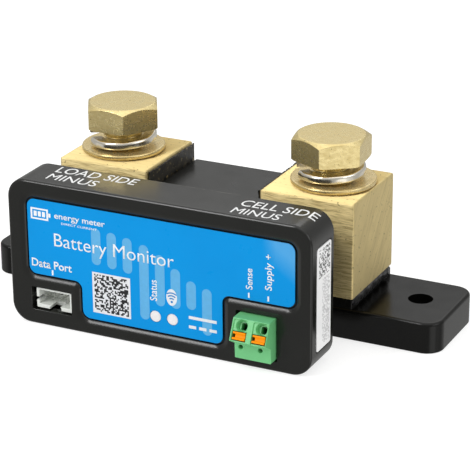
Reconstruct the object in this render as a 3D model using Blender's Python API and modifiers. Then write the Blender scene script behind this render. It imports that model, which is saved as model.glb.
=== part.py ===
"""Battery monitor shunt: a two-block current shunt on an insulating carrier, with a boxed
measuring board in front of it.

Metres, +Z up.  The origin is on the standing plane, under the middle of the overall box.
+X runs along the length, from the system-side block to the battery-side block.
The front of the measuring box faces -Y.

Lengths are given from the middle between the two blocks, and depths as "mm behind the face
of the measuring box".  The constants MIDDLE_X and FACE_Y turn them into world X and Y.
"""

import math

import bmesh
import bpy
from mathutils import Matrix, Vector

MM = 0.001

# ---------------------------------------------------------------- driving dimensions (mm)
CARRIER_X = (-61.8, 60.0)   # over the two fixing ears, from the middle between the blocks
MIDDLE_X = 0.9              # world X of the middle between the blocks
DEPTH = 54.6                # nose of the wire terminal to the back of the carrier, for reference
FACE_Y = -21.7              # world Y of the face of the measuring box

BOX_X = (-41.8, 38.2)       # measuring box, 80 long, set 1.8 off the middle
BOX_DEPTH = 12.5
BOX_HEIGHT = 37.2
BOX_CORNER = 5.0
BOX_WALL = 1.8
FACE_WALL = 2.4
FACE_FILLET = 1.0

LABEL_TOP = 32.4            # face label, an outline that steps round port and terminal
LABEL_X = (-36.7, 33.8)
LABEL_STEP_X = (-22.2, 15.3)
LABEL_Z = (13.1, 4.0, 16.7)  # lower edge over the port, in the middle, over the terminal
LABEL_CORNER = 2.0
LABEL_SUNK = 0.6
LABEL_THICK = 0.2
RECESS_DEPTH = 1.1
RECESS_MARGIN = 0.35

CARRIER_D = (23.7, 49.0)    # depth range of the carrier
CARRIER_HEIGHT = 7.8
CARRIER_CORNER = 4.5
EAR_HOLE_X = (-52.1, 50.3)
EAR_HOLE_D = 37.3
EAR_HOLE_R = 3.0
PLINTH_X = 37.9
PLINTH_TOP = 11.3

BLOCK_X = (15.13, 39.37)    # brass block, each side of the middle
BLOCK_D = (21.15, 45.65)
BLOCK_Z = (11.6, 35.64)
BLOCK_EDGE = 0.7
BOLT_X = 28.2
BOLT_D = 33.5
BOLT_BORE_R = 5.15
BOLT_BORE_FLOOR = 14.6

BOLT_ACROSS_FLATS = 17.0    # M10, 1.5 pitch
BOLT_HEAD = 6.05
BOLT_SHANK_R = 4.8
BOLT_TIP = 16.0
HEAD_UNDER = (42.1, 41.8)   # underside of the head, system side and battery side
HEAD_TURN = (29.0, 6.0)     # degrees that a corner stands past the +Y direction
FLAT_WASHER = (10.35, 5.6, 1.15)     # outer radius, bore radius, thickness
FLAT_OFF = ((0.0, 0.0), (0.55, 0.10))   # how far each flat washer lies off the bolt's axis
LOCK_WASHER = (8.3, 5.3, 2.0)       # outer radius, bore radius, thickness
LOCK_RISE = (2.4, 2.1)              # spring rise over the turn, system side and battery side
LOCK_START = (220, 222)             # degrees past +X where the low end of the turn is
LIE = 0.3                   # clearance between touching pieces

STRIP_D = (26.5, 33.4, 40.3)   # depth of each manganin strip
STRIP_THICK = 1.6
STRIP_Z = (14.0, 28.0)
STRIP_END = 18.3

BRIDGE_X = 14.2
BRIDGE_D = (21.4, 45.6)
BRIDGE_TOP = 31.1

BOARD_X = (-38.8, 35.2)
BOARD_Z = (2.9, 34.3)
BOARD_D = (7.6, 9.2)
SENSE_X = 22.0
SENSE_Z = 24.0

PORT_X = (-35.2, -25.4)
PORT_Z = (4.2, 9.4)
PORT_PITCH = 2.0

TERM_X = (19.95, 29.2)
TERM_POLE_X = (22.08, 27.08)  # 5.0 pitch
TERM_NOSE = ((-3.2, 13.5), (-5.55, 8.55))  # (depth, height) of the sloping face, top and bottom

LED_X = (-2.4, 2.1)
LED_Z = 7.9

# ---------------------------------------------------------------- scene and collections
for old in list(bpy.data.objects):
    bpy.data.objects.remove(old, do_unlink=True)

SCENE = bpy.context.scene
SCENE.unit_settings.system = "METRIC"
PARTS = bpy.data.collections.new("battery_monitor_shunt")
CUTTERS = bpy.data.collections.new("cutters")
SCENE.collection.children.link(PARTS)
SCENE.collection.children.link(CUTTERS)

# local axes of a flat outline, for an outline that is extruded along world X, Y or Z
AXES = {
    "X": Matrix(((0, 0, 1), (1, 0, 0), (0, 1, 0))),    # outline in (depth, height)
    "Y": Matrix(((1, 0, 0), (0, 0, -1), (0, 1, 0))),   # outline in (length, height)
    "Z": Matrix(((1, 0, 0), (0, 1, 0), (0, 0, 1))),    # outline in (length, depth)
}


def world(x, d, z):
    """World position of a point given by length, depth behind the box face, and height."""
    return Vector(((x + MIDDLE_X) * MM, (d + FACE_Y) * MM, z * MM))


def finish_mat(obj, rgb, rough, metal=0.0):
    mat = bpy.data.materials.new(obj.name)
    mat.use_nodes = True
    shader = mat.node_tree.nodes["Principled BSDF"]
    shader.inputs["Base Color"].default_value = (*rgb, 1.0)
    shader.inputs["Roughness"].default_value = rough
    shader.inputs["Metallic"].default_value = metal
    mat.diffuse_color = (*rgb, 1.0)
    obj.data.materials.clear()
    obj.data.materials.append(mat)
    return obj


def place(obj, cutter):
    for coll in list(obj.users_collection):
        coll.objects.unlink(obj)
    (CUTTERS if cutter else PARTS).objects.link(obj)
    if cutter:
        obj.hide_render = True
        obj.display_type = "WIRE"
    return obj


def smooth(obj, degrees=40):
    obj.data.shade_smooth()
    obj.data.set_sharp_from_angle(angle=math.radians(degrees))
    return obj


# ---------------------------------------------------------------- outlines
def filleted(points, radii, steps=5):
    """The closed polygon with each corner turned into an arc of its radius."""
    out = []
    count = len(points)
    for i, (corner, radius) in enumerate(zip(points, radii)):
        here = Vector(corner)
        back = (Vector(points[i - 1]) - here).normalized()
        on = (Vector(points[(i + 1) % count]) - here).normalized()
        if radius <= 0:
            out.append(tuple(here))
            continue
        half = back.angle(on) / 2
        run = radius / math.tan(half)
        centre = here + (back + on).normalized() * (radius / math.sin(half))
        start = here + back * run - centre
        end = here + on * run - centre
        turn = start.angle_signed(end)
        for k in range(steps + 1):
            a = -turn * k / steps
            out.append(
                (
                    centre.x + start.x * math.cos(a) - start.y * math.sin(a),
                    centre.y + start.x * math.sin(a) + start.y * math.cos(a),
                )
            )
    return out


def rectangle(u, v, radius=0.0, steps=5):
    corners = [(u[0], v[0]), (u[1], v[0]), (u[1], v[1]), (u[0], v[1])]
    return filleted(corners, [radius] * 4, steps)


def label_outline(grow):
    """The stepped outline of the face label, with every side moved out by grow."""
    x0, x1 = LABEL_X[0] - grow, LABEL_X[1] + grow
    s0, s1 = LABEL_STEP_X[0] - grow, LABEL_STEP_X[1] + grow
    port, middle, term = (z - grow for z in LABEL_Z)
    corners = [
        (x0, port), (s0, port), (s0, middle), (s1, middle),
        (s1, term), (x1, term), (x1, LABEL_TOP + grow), (x0, LABEL_TOP + grow),
    ]
    out, inner = LABEL_CORNER + grow, LABEL_CORNER - grow
    return filleted(corners, [out, inner, out, out, inner, out, out, out])


# ---------------------------------------------------------------- solids
def prism(name, outline, lo, hi, axis="Z", cutter=False):
    """A flat outline extruded along a world axis, from lo to hi.  All in mm; depth is
    behind the box face."""
    curve = bpy.data.curves.new(name, "CURVE")
    curve.dimensions = "2D"
    curve.fill_mode = "BOTH"
    curve.extrude = (hi - lo) / 2 * MM
    spline = curve.splines.new("POLY")
    spline.points.add(len(outline) - 1)
    mid = (lo + hi) / 2
    u0, v0 = outline[0]
    for point, (u, v) in zip(spline.points, outline):
        point.co = ((u - u0) * MM, (v - v0) * MM, 0, 1)
    spline.use_cyclic_u = True
    guide = bpy.data.objects.new(name + "_outline", curve)
    CUTTERS.objects.link(guide)
    bpy.context.view_layer.update()
    graph = bpy.context.evaluated_depsgraph_get()
    mesh = bpy.data.meshes.new_from_object(guide.evaluated_get(graph))
    bpy.data.objects.remove(guide, do_unlink=True)
    bm = bmesh.new()
    bm.from_mesh(mesh)
    bmesh.ops.remove_doubles(bm, verts=bm.verts, dist=1e-7)
    bmesh.ops.dissolve_limit(
        bm, angle_limit=0.001, verts=bm.verts, edges=bm.edges, delimit=set()
    )
    bmesh.ops.recalc_face_normals(bm, faces=bm.faces)
    bm.to_mesh(mesh)
    bm.free()
    mesh.name = name
    obj = bpy.data.objects.new(name, mesh)
    PARTS.objects.link(obj)
    spot = {"X": (mid, u0, v0), "Y": (u0, mid, v0), "Z": (u0, v0, mid)}[axis]
    turn = AXES[axis].to_4x4()
    obj.matrix_world = Matrix.Translation(world(*spot)) @ turn
    return place(obj, cutter)


def bar(name, x, d, z, cutter=False):
    """A rectangular block between the given length, depth and height limits."""
    bpy.ops.mesh.primitive_cube_add(size=1)
    obj = bpy.context.object
    obj.name = obj.data.name = name
    size = Vector((x[1] - x[0], d[1] - d[0], z[1] - z[0])) * MM
    obj.data.transform(Matrix.Diagonal((*size, 1)))
    obj.location = world(sum(x) / 2, sum(d) / 2, sum(z) / 2)
    return place(obj, cutter)


def rod(name, radius, at, lo, hi, axis="Z", sides=32, cutter=False, turn=0.0):
    """A round bar along a world axis through the point at (the two other coordinates)."""
    bpy.ops.mesh.primitive_cylinder_add(
        vertices=sides, radius=radius * MM, depth=(hi - lo) * MM, end_fill_type="NGON"
    )
    obj = bpy.context.object
    obj.name = obj.data.name = name
    mid = (lo + hi) / 2
    spot = {
        "X": (mid, at[0], at[1]), "Y": (at[0], mid, at[1]), "Z": (at[0], at[1], mid)
    }[axis]
    rot = {
        "X": Matrix.Rotation(math.pi / 2, 4, "Y"),
        "Y": Matrix.Rotation(math.pi / 2, 4, "X"),
        "Z": Matrix.Identity(4),
    }[axis]
    obj.matrix_world = (
        Matrix.Translation(world(*spot)) @ rot @ Matrix.Rotation(math.radians(turn), 4, "Z")
    )
    return smooth(place(obj, cutter))


def turned(name, profile, at, sides=48, cutter=False):
    """A lathe shape about a vertical axis.  The profile runs (radius, height) from the
    top of the axis, out, down and back to it, or round a ring section."""
    mesh = bpy.data.meshes.new(name)
    obj = bpy.data.objects.new(name, mesh)
    PARTS.objects.link(obj)
    closed = profile[0][0] > 1e-9
    bm = bmesh.new()
    points = [bm.verts.new((r * MM, 0, z * MM)) for r, z in profile]
    for a, b in zip(points, points[1:] + (points[:1] if closed else [])):
        bm.edges.new((a, b))
    bm.to_mesh(mesh)
    bm.free()
    obj.location = world(at[0], at[1], 0)
    screw = obj.modifiers.new("turn", "SCREW")
    screw.axis = "Z"
    screw.steps = screw.render_steps = sides
    screw.use_merge_vertices = True
    screw.merge_threshold = 0.00001
    screw.use_smooth_shade = True
    return place(obj, cutter)


def boolean(obj, other, operation):
    mod = obj.modifiers.new(other.name, "BOOLEAN")
    mod.operation = operation
    mod.solver = "EXACT"
    mod.object = other
    return obj


def cut(obj, *others):
    for other in others:
        boolean(obj, place(other, True), "DIFFERENCE")
    return obj


def join(obj, *others):
    for other in others:
        boolean(obj, place(other, True), "UNION")
    return obj


def rounded(obj, width, segments=2, degrees=40):
    mod = obj.modifiers.new("edge", "BEVEL")
    mod.width = width * MM
    mod.segments = segments
    mod.limit_method = "ANGLE"
    mod.angle_limit = math.radians(degrees)
    mod.use_clamp_overlap = True
    return obj


BLACK = (0.012, 0.012, 0.013)
BRASS = (0.72, 0.53, 0.26)
STEEL = (0.62, 0.60, 0.57)
GREEN = (0.10, 0.42, 0.14)
ORANGE = (0.90, 0.36, 0.05)
CREAM = (0.80, 0.80, 0.76)
TIN = (0.72, 0.72, 0.70)

# ---------------------------------------------------------------- carrier with fixing ears
carrier = prism(
    "base_carrier",
    rectangle(CARRIER_X, CARRIER_D, CARRIER_CORNER, 6),
    0.0,
    CARRIER_HEIGHT,
)
rounded(carrier, 0.8, 2, 60)
plinth = prism(
    "plinth",
    [
        (CARRIER_D[0] + 0.5, 5.0), (CARRIER_D[1] - 0.4, 5.0),
        (CARRIER_D[1] - 0.4, 9.5), (46.2, PLINTH_TOP),
        (CARRIER_D[0] + 0.5, PLINTH_TOP),
    ],
    -PLINTH_X,
    PLINTH_X,
    "X",
)
join(carrier, plinth)
for i, x in enumerate(EAR_HOLE_X):
    cut(carrier, rod(f"ear_hole_{i}", EAR_HOLE_R, (x, EAR_HOLE_D), -1, 9))

# block screws: two from below into each block
SCREWS = [
    (-SENSE_X, 41.0), (-35.0, 28.4), (SENSE_X, 41.0), (35.0, 28.4),
]
for i, (x, d) in enumerate(SCREWS, 1):
    well = turned(
        f"screw_well_{i}",
        [(0, 12.5), (2.35, 12.5), (2.35, 3.3), (3.9, 3.3), (3.9, -1), (0, -1)],
        (x, d),
        24,
    )
    cut(carrier, well)
finish_mat(carrier, BLACK, 0.42)

for i, (x, d) in enumerate(SCREWS, 1):
    screw = turned(
        f"block_screw_{i}",
        [(0, 18.6), (1.4, 18.6), (2.0, 17.9), (2.0, 2.9), (3.5, 2.9), (3.5, 0.9), (3.0, 0.5), (0, 0.5)],
        (x, d),
        24,
    )
    cut(screw, rod(f"screw_socket_{i}", 1.45, (x, d), -1, 1.9, sides=6))
    finish_mat(screw, STEEL, 0.35, 1.0)

# ---------------------------------------------------------------- the shunt itself
SIDES = (("system", -1, 0), ("battery", 1, 1))
for name, side, i in SIDES:
    x = sorted((side * BLOCK_X[0], side * BLOCK_X[1]))
    block = bar(f"terminal_block_{name}", x, BLOCK_D, BLOCK_Z)
    rounded(block, BLOCK_EDGE, 2)
    cut(
        block,
        rod(
            f"bolt_bore_{name}", BOLT_BORE_R, (side * BOLT_X, BOLT_D),
            BOLT_BORE_FLOOR, 40, sides=40,
        ),
    )
    for k, d in enumerate(STRIP_D, 1):
        half = STRIP_THICK / 2 + LIE
        sx = sorted((side * 14.0, side * (STRIP_END + LIE)))
        cut(
            block,
            bar(
                f"strip_slot_{name}_{k}", sx, (d - half, d + half),
                (STRIP_Z[0] - LIE, STRIP_Z[1] + LIE),
            ),
        )
    cut(
        block,
        rod(f"sense_hole_{name}", 1.9, (side * SENSE_X, SENSE_Z), 15, 27.6, "Y", 20),
    )
    for k, (sx, d) in enumerate(SCREWS, 1):
        if sx * side > 0:
            cut(block, rod(f"screw_hole_{k}", 2.35, (sx, d), 5, 19.2, sides=20))
    finish_mat(block, BRASS, 0.34, 1.0)

for k, d in enumerate(STRIP_D, 1):
    half = STRIP_THICK / 2
    strip = bar(f"resistor_strip_{k}", (-STRIP_END, STRIP_END), (d - half, d + half), STRIP_Z)
    # trimming notch, filed in the lower edge to set the resistance
    if k == 2:
        cut(strip, rod("trim_notch", 1.6, (0.0, STRIP_Z[0]), d - 3, d + 3, "Y", 20))
    finish_mat(strip, (0.55, 0.40, 0.30), 0.4, 1.0)

# cap over the strips, open below so that it drops over them
bridge = bar("bridge_cover", (-BRIDGE_X, BRIDGE_X), BRIDGE_D, (11.6, BRIDGE_TOP))
rounded(bridge, 0.6, 2)
cut(
    bridge,
    bar(
        "bridge_hollow", (-BRIDGE_X + 1.6, BRIDGE_X - 1.6),
        (BRIDGE_D[0] + 1.6, BRIDGE_D[1] - 1.6), (5, BRIDGE_TOP - 1.6),
    ),
    bar("bridge_sides", (-20, 20), (25.0, 42.0), (5, 28.6)),
)
finish_mat(bridge, BLACK, 0.5)

for name, side, i in SIDES:
    x = sorted((side * (BRIDGE_X + LIE), side * (BLOCK_X[0] - LIE)))
    sheet = bar(f"insulator_{name}", x, (21.6, 45.2), (11.9, 35.3))
    cut(
        sheet,
        bar(f"insulator_slot_{name}", (x[0] - 1, x[1] + 1), (25.0, 42.0), (5, 28.6)),
    )
    finish_mat(sheet, (0.03, 0.03, 0.028), 0.85)

# ---------------------------------------------------------------- bolts and their washers
for name, side, i in SIDES:
    axis = (side * BOLT_X, BOLT_D)
    under = HEAD_UNDER[i]
    top = under + BOLT_HEAD
    corner = BOLT_ACROSS_FLATS / math.sqrt(3)
    bolt = turned(
        f"bolt_{name}",
        [
            (0, top), (BOLT_ACROSS_FLATS * 0.475, top), (corner + 0.05, top - 1.05),
            (corner + 0.05, under + 0.3), (corner - 0.5, under), (BOLT_SHANK_R, under),
            (BOLT_SHANK_R, BOLT_TIP + 1.0), (BOLT_SHANK_R - 1.0, BOLT_TIP), (0, BOLT_TIP),
        ],
        axis,
        48,
    )
    boolean(
        bolt,
        rod(
            f"hexagon_{name}", corner, axis, 5, 60, sides=6, cutter=True,
            turn=HEAD_TURN[i],
        ),
        "INTERSECT",
    )
    finish_mat(bolt, (0.66, 0.50, 0.26), 0.3, 1.0)

    outer, bore, thick = FLAT_WASHER
    low = BLOCK_Z[1] + LIE
    washer = turned(
        f"flat_washer_{name}",
        [
            (outer - 0.25, low + thick), (outer, low + thick - 0.25), (outer, low + 0.25),
            (outer - 0.25, low), (bore, low), (bore, low + thick),
        ],
        (axis[0] + FLAT_OFF[i][0], axis[1] + FLAT_OFF[i][1]),
        48,
    )
    finish_mat(washer, (0.75, 0.60, 0.32), 0.22, 1.0)

    # the spring washer: one turn of square wire, its ends sprung apart in height
    outer, bore, thick = LOCK_WASHER
    rise = LOCK_RISE[i]
    low += FLAT_WASHER[2] + LIE
    mesh = bpy.data.meshes.new(f"lock_washer_{name}")
    bm = bmesh.new()
    section = [
        bm.verts.new((r * MM, 0, z * MM))
        for r, z in ((bore, 0), (outer, 0), (outer, thick), (bore, thick))
    ]
    face = bm.faces.new(section)
    steps = 40
    sweep = math.radians(346)
    bmesh.ops.spin(
        bm, geom=[face, *face.edges, *face.verts], cent=(0, 0, 0), axis=(0, 0, 1),
        dvec=(0, 0, rise * MM / steps), angle=sweep, steps=steps,
    )
    bmesh.ops.recalc_face_normals(bm, faces=bm.faces)
    bm.to_mesh(mesh)
    bm.free()
    ring = bpy.data.objects.new(mesh.name, mesh)
    PARTS.objects.link(ring)
    ring.location = world(axis[0], axis[1], low)
    ring.rotation_euler.z = math.radians(LOCK_START[i])
    smooth(ring)
    finish_mat(ring, STEEL, 0.28, 1.0)

# ---------------------------------------------------------------- measuring box
cover = prism(
    "front_cover",
    rectangle(BOX_X, (0.0, BOX_HEIGHT), BOX_CORNER, 8),
    0.0,
    BOX_DEPTH,
    "Y",
)
# only the edge round the face is rolled over: the rim behind stays square
front_edges = cover.modifiers.new("edge", "BEVEL")
front_edges.width = FACE_FILLET * MM
front_edges.segments = 3
front_edges.limit_method = "VGROUP"
rim = cover.vertex_groups.new(name="face_rim")
to_world = cover.matrix_world.copy()
rim.add(
    [v.index for v in cover.data.vertices if (to_world @ v.co).y < FACE_Y * MM + 1e-5],
    1.0,
    "REPLACE",
)
front_edges.vertex_group = "face_rim"

hollow_x = (BOX_X[0] + BOX_WALL, BOX_X[1] - BOX_WALL)
hollow_z = (BOX_WALL, BOX_HEIGHT - BOX_WALL)
PORT_WINDOW = ((PORT_X[0] - 0.9, PORT_X[1] + 0.35), (PORT_Z[0] - 0.35, PORT_Z[1] + 0.35))
TERM_WINDOW = ((TERM_X[0] - 0.9, TERM_X[1] + 0.35), (2.6, TERM_NOSE[0][1] + 0.35))
cut(
    cover,
    prism(
        "box_hollow", rectangle(hollow_x, hollow_z, BOX_CORNER - BOX_WALL, 5),
        FACE_WALL, BOX_DEPTH + 3, "Y",
    ),
    prism("label_recess", label_outline(RECESS_MARGIN), -1.0, RECESS_DEPTH, "Y"),
    prism("port_window", rectangle(*PORT_WINDOW, 0.4, 2), -1, 4, "Y"),
    prism("terminal_window", rectangle(*TERM_WINDOW, 0.3, 2), -1, 4, "Y"),
)
for i, x in enumerate(LED_X):
    cut(cover, rod(f"light_hole_{i}", 1.6, (x, LED_Z), -1, 4, "Y", 20))
cut(
    cover,
    prism(
        "side_label_pocket", rectangle((2.7, 11.1), (5.1, 31.3), 0.8, 3),
        BOX_X[1] - 0.5, BOX_X[1] + 1, "X",
    ),
)
finish_mat(cover, BLACK, 0.38)

label = prism(
    "front_label", label_outline(0.0), LABEL_SUNK, LABEL_SUNK + LABEL_THICK, "Y"
)
for i, x in enumerate(LED_X):
    cut(label, rod(f"label_hole_{i}", 1.5, (x, LED_Z), -1, 4, "Y", 20))
finish_mat(label, (0.0, 0.28, 0.70), 0.4)

side_label = prism(
    "side_label", rectangle((3.0, 10.8), (5.4, 31.0), 0.6, 3),
    BOX_X[1] - 0.15, BOX_X[1] + 0.05, "X",
)
finish_mat(side_label, (0.85, 0.85, 0.84), 0.5)

# back of the box, with the hollow neck that reaches the two blocks
rear = prism(
    "rear_housing",
    rectangle(
        (hollow_x[0] + LIE, hollow_x[1] - LIE), (hollow_z[0] + LIE, hollow_z[1] - LIE),
        BOX_CORNER - BOX_WALL - LIE, 5,
    ),
    10.6,
    BOX_DEPTH,
    "Y",
)
join(rear, prism("neck", rectangle((-33, 33), (12.2, 32.6), 2.0, 4), 11.0, 20.85, "Y"))
cut(rear, prism("neck_hollow", rectangle((-31, 31), (14.2, 30.6), 1.2, 3), 5, 25, "Y"))
finish_mat(rear, BLACK, 0.45)

# ---------------------------------------------------------------- measuring board
board = prism("circuit_board", rectangle(BOARD_X, BOARD_Z, 2.2, 4), *BOARD_D, "Y")
for side in (-1, 1):
    cut(board, rod(f"board_hole_{side}", 1.85, (side * SENSE_X, SENSE_Z), 0, 15, "Y", 20))
for k in range(4):
    x = (PORT_X[0] + PORT_X[1]) / 2 + (k - 1.5) * PORT_PITCH
    cut(board, rod(f"pin_hole_{k}", 0.7, (x, 6.6), 0, 15, "Y", 12))
for k, x in enumerate(TERM_POLE_X):
    cut(board, rod(f"bar_hole_{k}", 1.0, (x, 5.4), 0, 15, "Y", 16))
finish_mat(board, (0.03, 0.20, 0.08), 0.5)

for name, side, i in SIDES:
    post = rod(f"sense_spacer_{name}", 3.0, (side * SENSE_X, SENSE_Z), 9.5, 20.85, "Y", 24)
    cut(post, rod(f"spacer_bore_{name}", 1.85, (side * SENSE_X, SENSE_Z), 5, 25, "Y", 20))
    finish_mat(post, BRASS, 0.3, 1.0)
    screw = rod(f"sense_screw_{name}", 2.8, (side * SENSE_X, SENSE_Z), 5.2, 7.3, "Y", 24)
    join(screw, rod(f"sense_shank_{name}", 1.5, (side * SENSE_X, SENSE_Z), 6.5, 27.2, "Y", 20))
    cut(screw, bar(
        f"sense_slot_{name}",
        (side * SENSE_X - 3.5, side * SENSE_X + 3.5), (4, 6.0), (SENSE_Z - 0.4, SENSE_Z + 0.4),
    ))
    finish_mat(screw, STEEL, 0.35, 1.0)

# parts on the board: the front side faces the label, the back side faces the shunt
CHIPS = [
    ("radio_controller", (-9.0, -2.0), (6.35, 7.3), (19.5, 26.5), (0.03, 0.03, 0.035)),
    ("radio_antenna", (-8.8, -1.8), (6.2, 7.3), (30.2, 32.4), (0.75, 0.72, 0.62)),
    ("clock_crystal", (1.0, 4.2), (6.5, 7.3), (21.8, 24.3), (0.70, 0.70, 0.72)),
    ("power_inductor", (8.5, 13.5), (4.3, 7.3), (20.0, 25.0), (0.06, 0.06, 0.06)),
    ("sense_amplifier", (-3.0, 2.0), (9.5, 11.0), (21.5, 26.5), (0.03, 0.03, 0.035)),
    ("memory_chip", (-16.2, -11.8), (6.4, 7.3), (12.0, 16.0), (0.03, 0.03, 0.035)),
]
for name, x, d, z, rgb in CHIPS:
    chip = bar(name, x, d, z)
    rounded(chip, 0.15, 1)
    finish_mat(chip, rgb, 0.5)
capacitor = rod("filter_capacitor", 2.5, (11.0, 12.0), 3.4, 7.3, "Y", 28)
rounded(capacitor, 0.3, 2)
finish_mat(capacitor, (0.65, 0.65, 0.66), 0.3, 0.8)

for name, x, rgb in (
    ("error", LED_X[0], (0.8, 0.1, 0.05)),
    ("radio", LED_X[1], (0.1, 0.3, 0.9)),
):
    led = bar(f"status_led_{name}", (x - 0.8, x + 0.8), (6.5, 7.3), (LED_Z - 0.6, LED_Z + 0.6))
    finish_mat(led, rgb, 0.3)
    pipe = rod(f"light_pipe_{name}", 1.15, (x, LED_Z), LABEL_SUNK + 0.02, 6.1, "Y", 20)
    join(pipe, rod(f"pipe_flange_{name}", 1.9, (x, LED_Z), 2.75, 3.75, "Y", 20))
    finish_mat(pipe, (0.82, 0.88, 0.92), 0.25)

# ---------------------------------------------------------------- data port
socket = bar("data_port_socket", PORT_X, (0.8, 7.3), PORT_Z)
cut(
    socket,
    bar(
        "socket_cavity", (PORT_X[0] + 0.7, PORT_X[1] - 0.7), (-1, 5.8),
        (PORT_Z[0] + 0.7, PORT_Z[1] - 0.7),
    ),
    bar("socket_notch_side", (PORT_X[0] - 1, PORT_X[0] + 1.2), (-1, 3.6), (6.0, 7.0)),
    bar("socket_notch_low", (-32.0, -28.6), (-1, 3.6), (PORT_Z[0] - 1, PORT_Z[0] + 1)),
)
for k in range(4):
    x = (PORT_X[0] + PORT_X[1]) / 2 + (k - 1.5) * PORT_PITCH
    cut(socket, bar(f"socket_hole_{k}", (x - 0.55, x + 0.55), (3, 9), (6.05, 7.15)))
    pin = bar(f"data_port_pin_{k + 1}", (x - 0.25, x + 0.25), (1.9, 10.2), (6.35, 6.85))
    finish_mat(pin, TIN, 0.25, 1.0)
finish_mat(socket, CREAM, 0.45)

# ---------------------------------------------------------------- two-pole wire terminal
(top_d, top_z), (low_d, low_z) = TERM_NOSE
terminal = prism(
    "terminal_housing",
    [
        (7.3, 3.0), (7.3, top_z), (top_d, top_z), (low_d, low_z),
        (-2.65, 6.8), (-2.5, 3.0),
    ],
    *TERM_X,
    "X",
)
slope = math.atan2(top_d - low_d, top_z - low_z)     # lean of the nose from upright
down = Vector((0, -math.sin(slope), -math.cos(slope)))   # along the nose, downwards
inward = Vector((0, math.cos(slope), -math.sin(slope)))  # into the nose
nose_turn = Matrix.Rotation(-slope, 4, "X")


def in_nose(name, x, along, deep, half_x, half_along, half_deep, round_bore=False, sides=20):
    """A cutter or key whose own axes follow the sloping nose.  along is measured down the
    slope from its top edge, deep is measured into it."""
    centre = (
        world(x, top_d, top_z) + down * (along * MM) + inward * (deep * MM)
    )
    if round_bore:
        bpy.ops.mesh.primitive_cylinder_add(
            vertices=sides, radius=half_x * MM, depth=2 * half_deep * MM
        )
        own = Matrix.Rotation(math.pi / 2, 4, "X")
    else:
        bpy.ops.mesh.primitive_cube_add(size=2)
        bpy.context.object.data.transform(
            Matrix.Diagonal((half_x * MM, half_deep * MM, half_along * MM, 1))
        )
        own = Matrix.Identity(4)
    obj = bpy.context.object
    obj.name = obj.data.name = name
    obj.matrix_world = Matrix.Translation(centre) @ nose_turn @ own
    return place(obj, False)


LEVER_ALONG = 4.05
for k, (pole, x) in enumerate(zip(("aux", "vbatt"), TERM_POLE_X)):
    # chamber behind the nose, open to the board, for the spring and its contact bar
    cut(
        terminal,
        bar(f"chamber_{pole}", (x - 1.9, x + 1.9), (-1.2, 9), (4.3, 12.0)),
        in_nose(f"wire_entry_{pole}", x + 0.3, 1.55, 1.0, 1.25, 0, 4.5, True),
        in_nose(f"lever_slot_{pole}", x + 0.1, LEVER_ALONG, 1.0, 1.9, 1.2, 4.5),
        rod(f"test_hole_{pole}", 0.55, (x - 0.5, 6.0), -4, 1, "Y", 12),
    )
    lever = in_nose(f"lever_{pole}", x + 0.1, LEVER_ALONG, 1.6, 1.6, 0.95, 1.65)
    rounded(lever, 0.25, 2)
    finish_mat(lever, ORANGE, 0.4)

    # bent leaf spring: a loop at the back, its free leg crossing the wire's way in
    leaf = [
        (-0.6, 11.4), (3.9, 11.4), (5.6, 9.6), (5.6, 7.6), (3.6, 6.4), (0.2, 8.6),
        (0.45, 8.95), (3.55, 6.95), (5.1, 7.85), (5.1, 9.4), (3.7, 10.95), (-0.6, 10.95),
    ]
    spring = prism(f"clamp_spring_{pole}", leaf, x - 1.5, x + 1.5, "X")
    finish_mat(spring, STEEL, 0.3, 1.0)

    # contact bar along the floor of the chamber, with the leg soldered in the board
    contact = bar(f"contact_bar_{pole}", (x - 1.4, x + 1.4), (-0.8, 6.6), (4.9, 5.8))
    join(contact, rod(f"contact_leg_{pole}", 0.6, (x, 5.4), 6.0, 10.3, "Y", 12))
    finish_mat(contact, TIN, 0.3, 1.0)
finish_mat(terminal, GREEN, 0.4)
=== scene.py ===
"""Looks of the battery monitor shunt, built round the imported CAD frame.

Lengths below are in millimetres, as (x, d, z): x counts from the middle between the two blocks,
and d is the depth behind the face of the measuring box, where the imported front_cover starts.  Printed words and symbols are generic.
"""

import math
import random

import bmesh
import bpy
from mathutils import Matrix, Vector


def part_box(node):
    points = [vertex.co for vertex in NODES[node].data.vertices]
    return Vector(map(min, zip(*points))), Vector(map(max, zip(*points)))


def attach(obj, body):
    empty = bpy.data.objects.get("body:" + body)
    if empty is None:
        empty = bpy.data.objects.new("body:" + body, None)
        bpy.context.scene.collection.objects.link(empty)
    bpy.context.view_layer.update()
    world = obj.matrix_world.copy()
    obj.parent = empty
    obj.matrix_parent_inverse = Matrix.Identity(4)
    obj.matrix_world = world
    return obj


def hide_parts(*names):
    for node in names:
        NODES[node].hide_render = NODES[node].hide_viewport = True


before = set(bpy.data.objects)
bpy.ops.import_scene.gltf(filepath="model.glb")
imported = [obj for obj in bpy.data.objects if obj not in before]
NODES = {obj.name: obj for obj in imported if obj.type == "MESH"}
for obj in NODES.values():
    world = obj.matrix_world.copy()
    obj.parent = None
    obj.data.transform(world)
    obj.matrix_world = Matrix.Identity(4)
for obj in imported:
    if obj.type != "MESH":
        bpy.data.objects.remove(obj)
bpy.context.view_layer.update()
MM = 0.001
FACE_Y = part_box("front_cover")[0].y
MIDDLE_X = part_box("front_cover")[0].x / MM + 41.8     # lengths count from the middle between the blocks


def pt(x, d, z):
    return Vector(((x + MIDDLE_X) * MM, FACE_Y + d * MM, z * MM))


def limits(node):
    """The node's limits in mm: (x0, x1), (d0, d1), (z0, z1)."""
    lo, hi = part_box(node)
    return (
        (lo.x / MM - MIDDLE_X, hi.x / MM - MIDDLE_X),
        ((lo.y - FACE_Y) / MM, (hi.y - FACE_Y) / MM),
        (lo.z / MM, hi.z / MM),
    )


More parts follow.
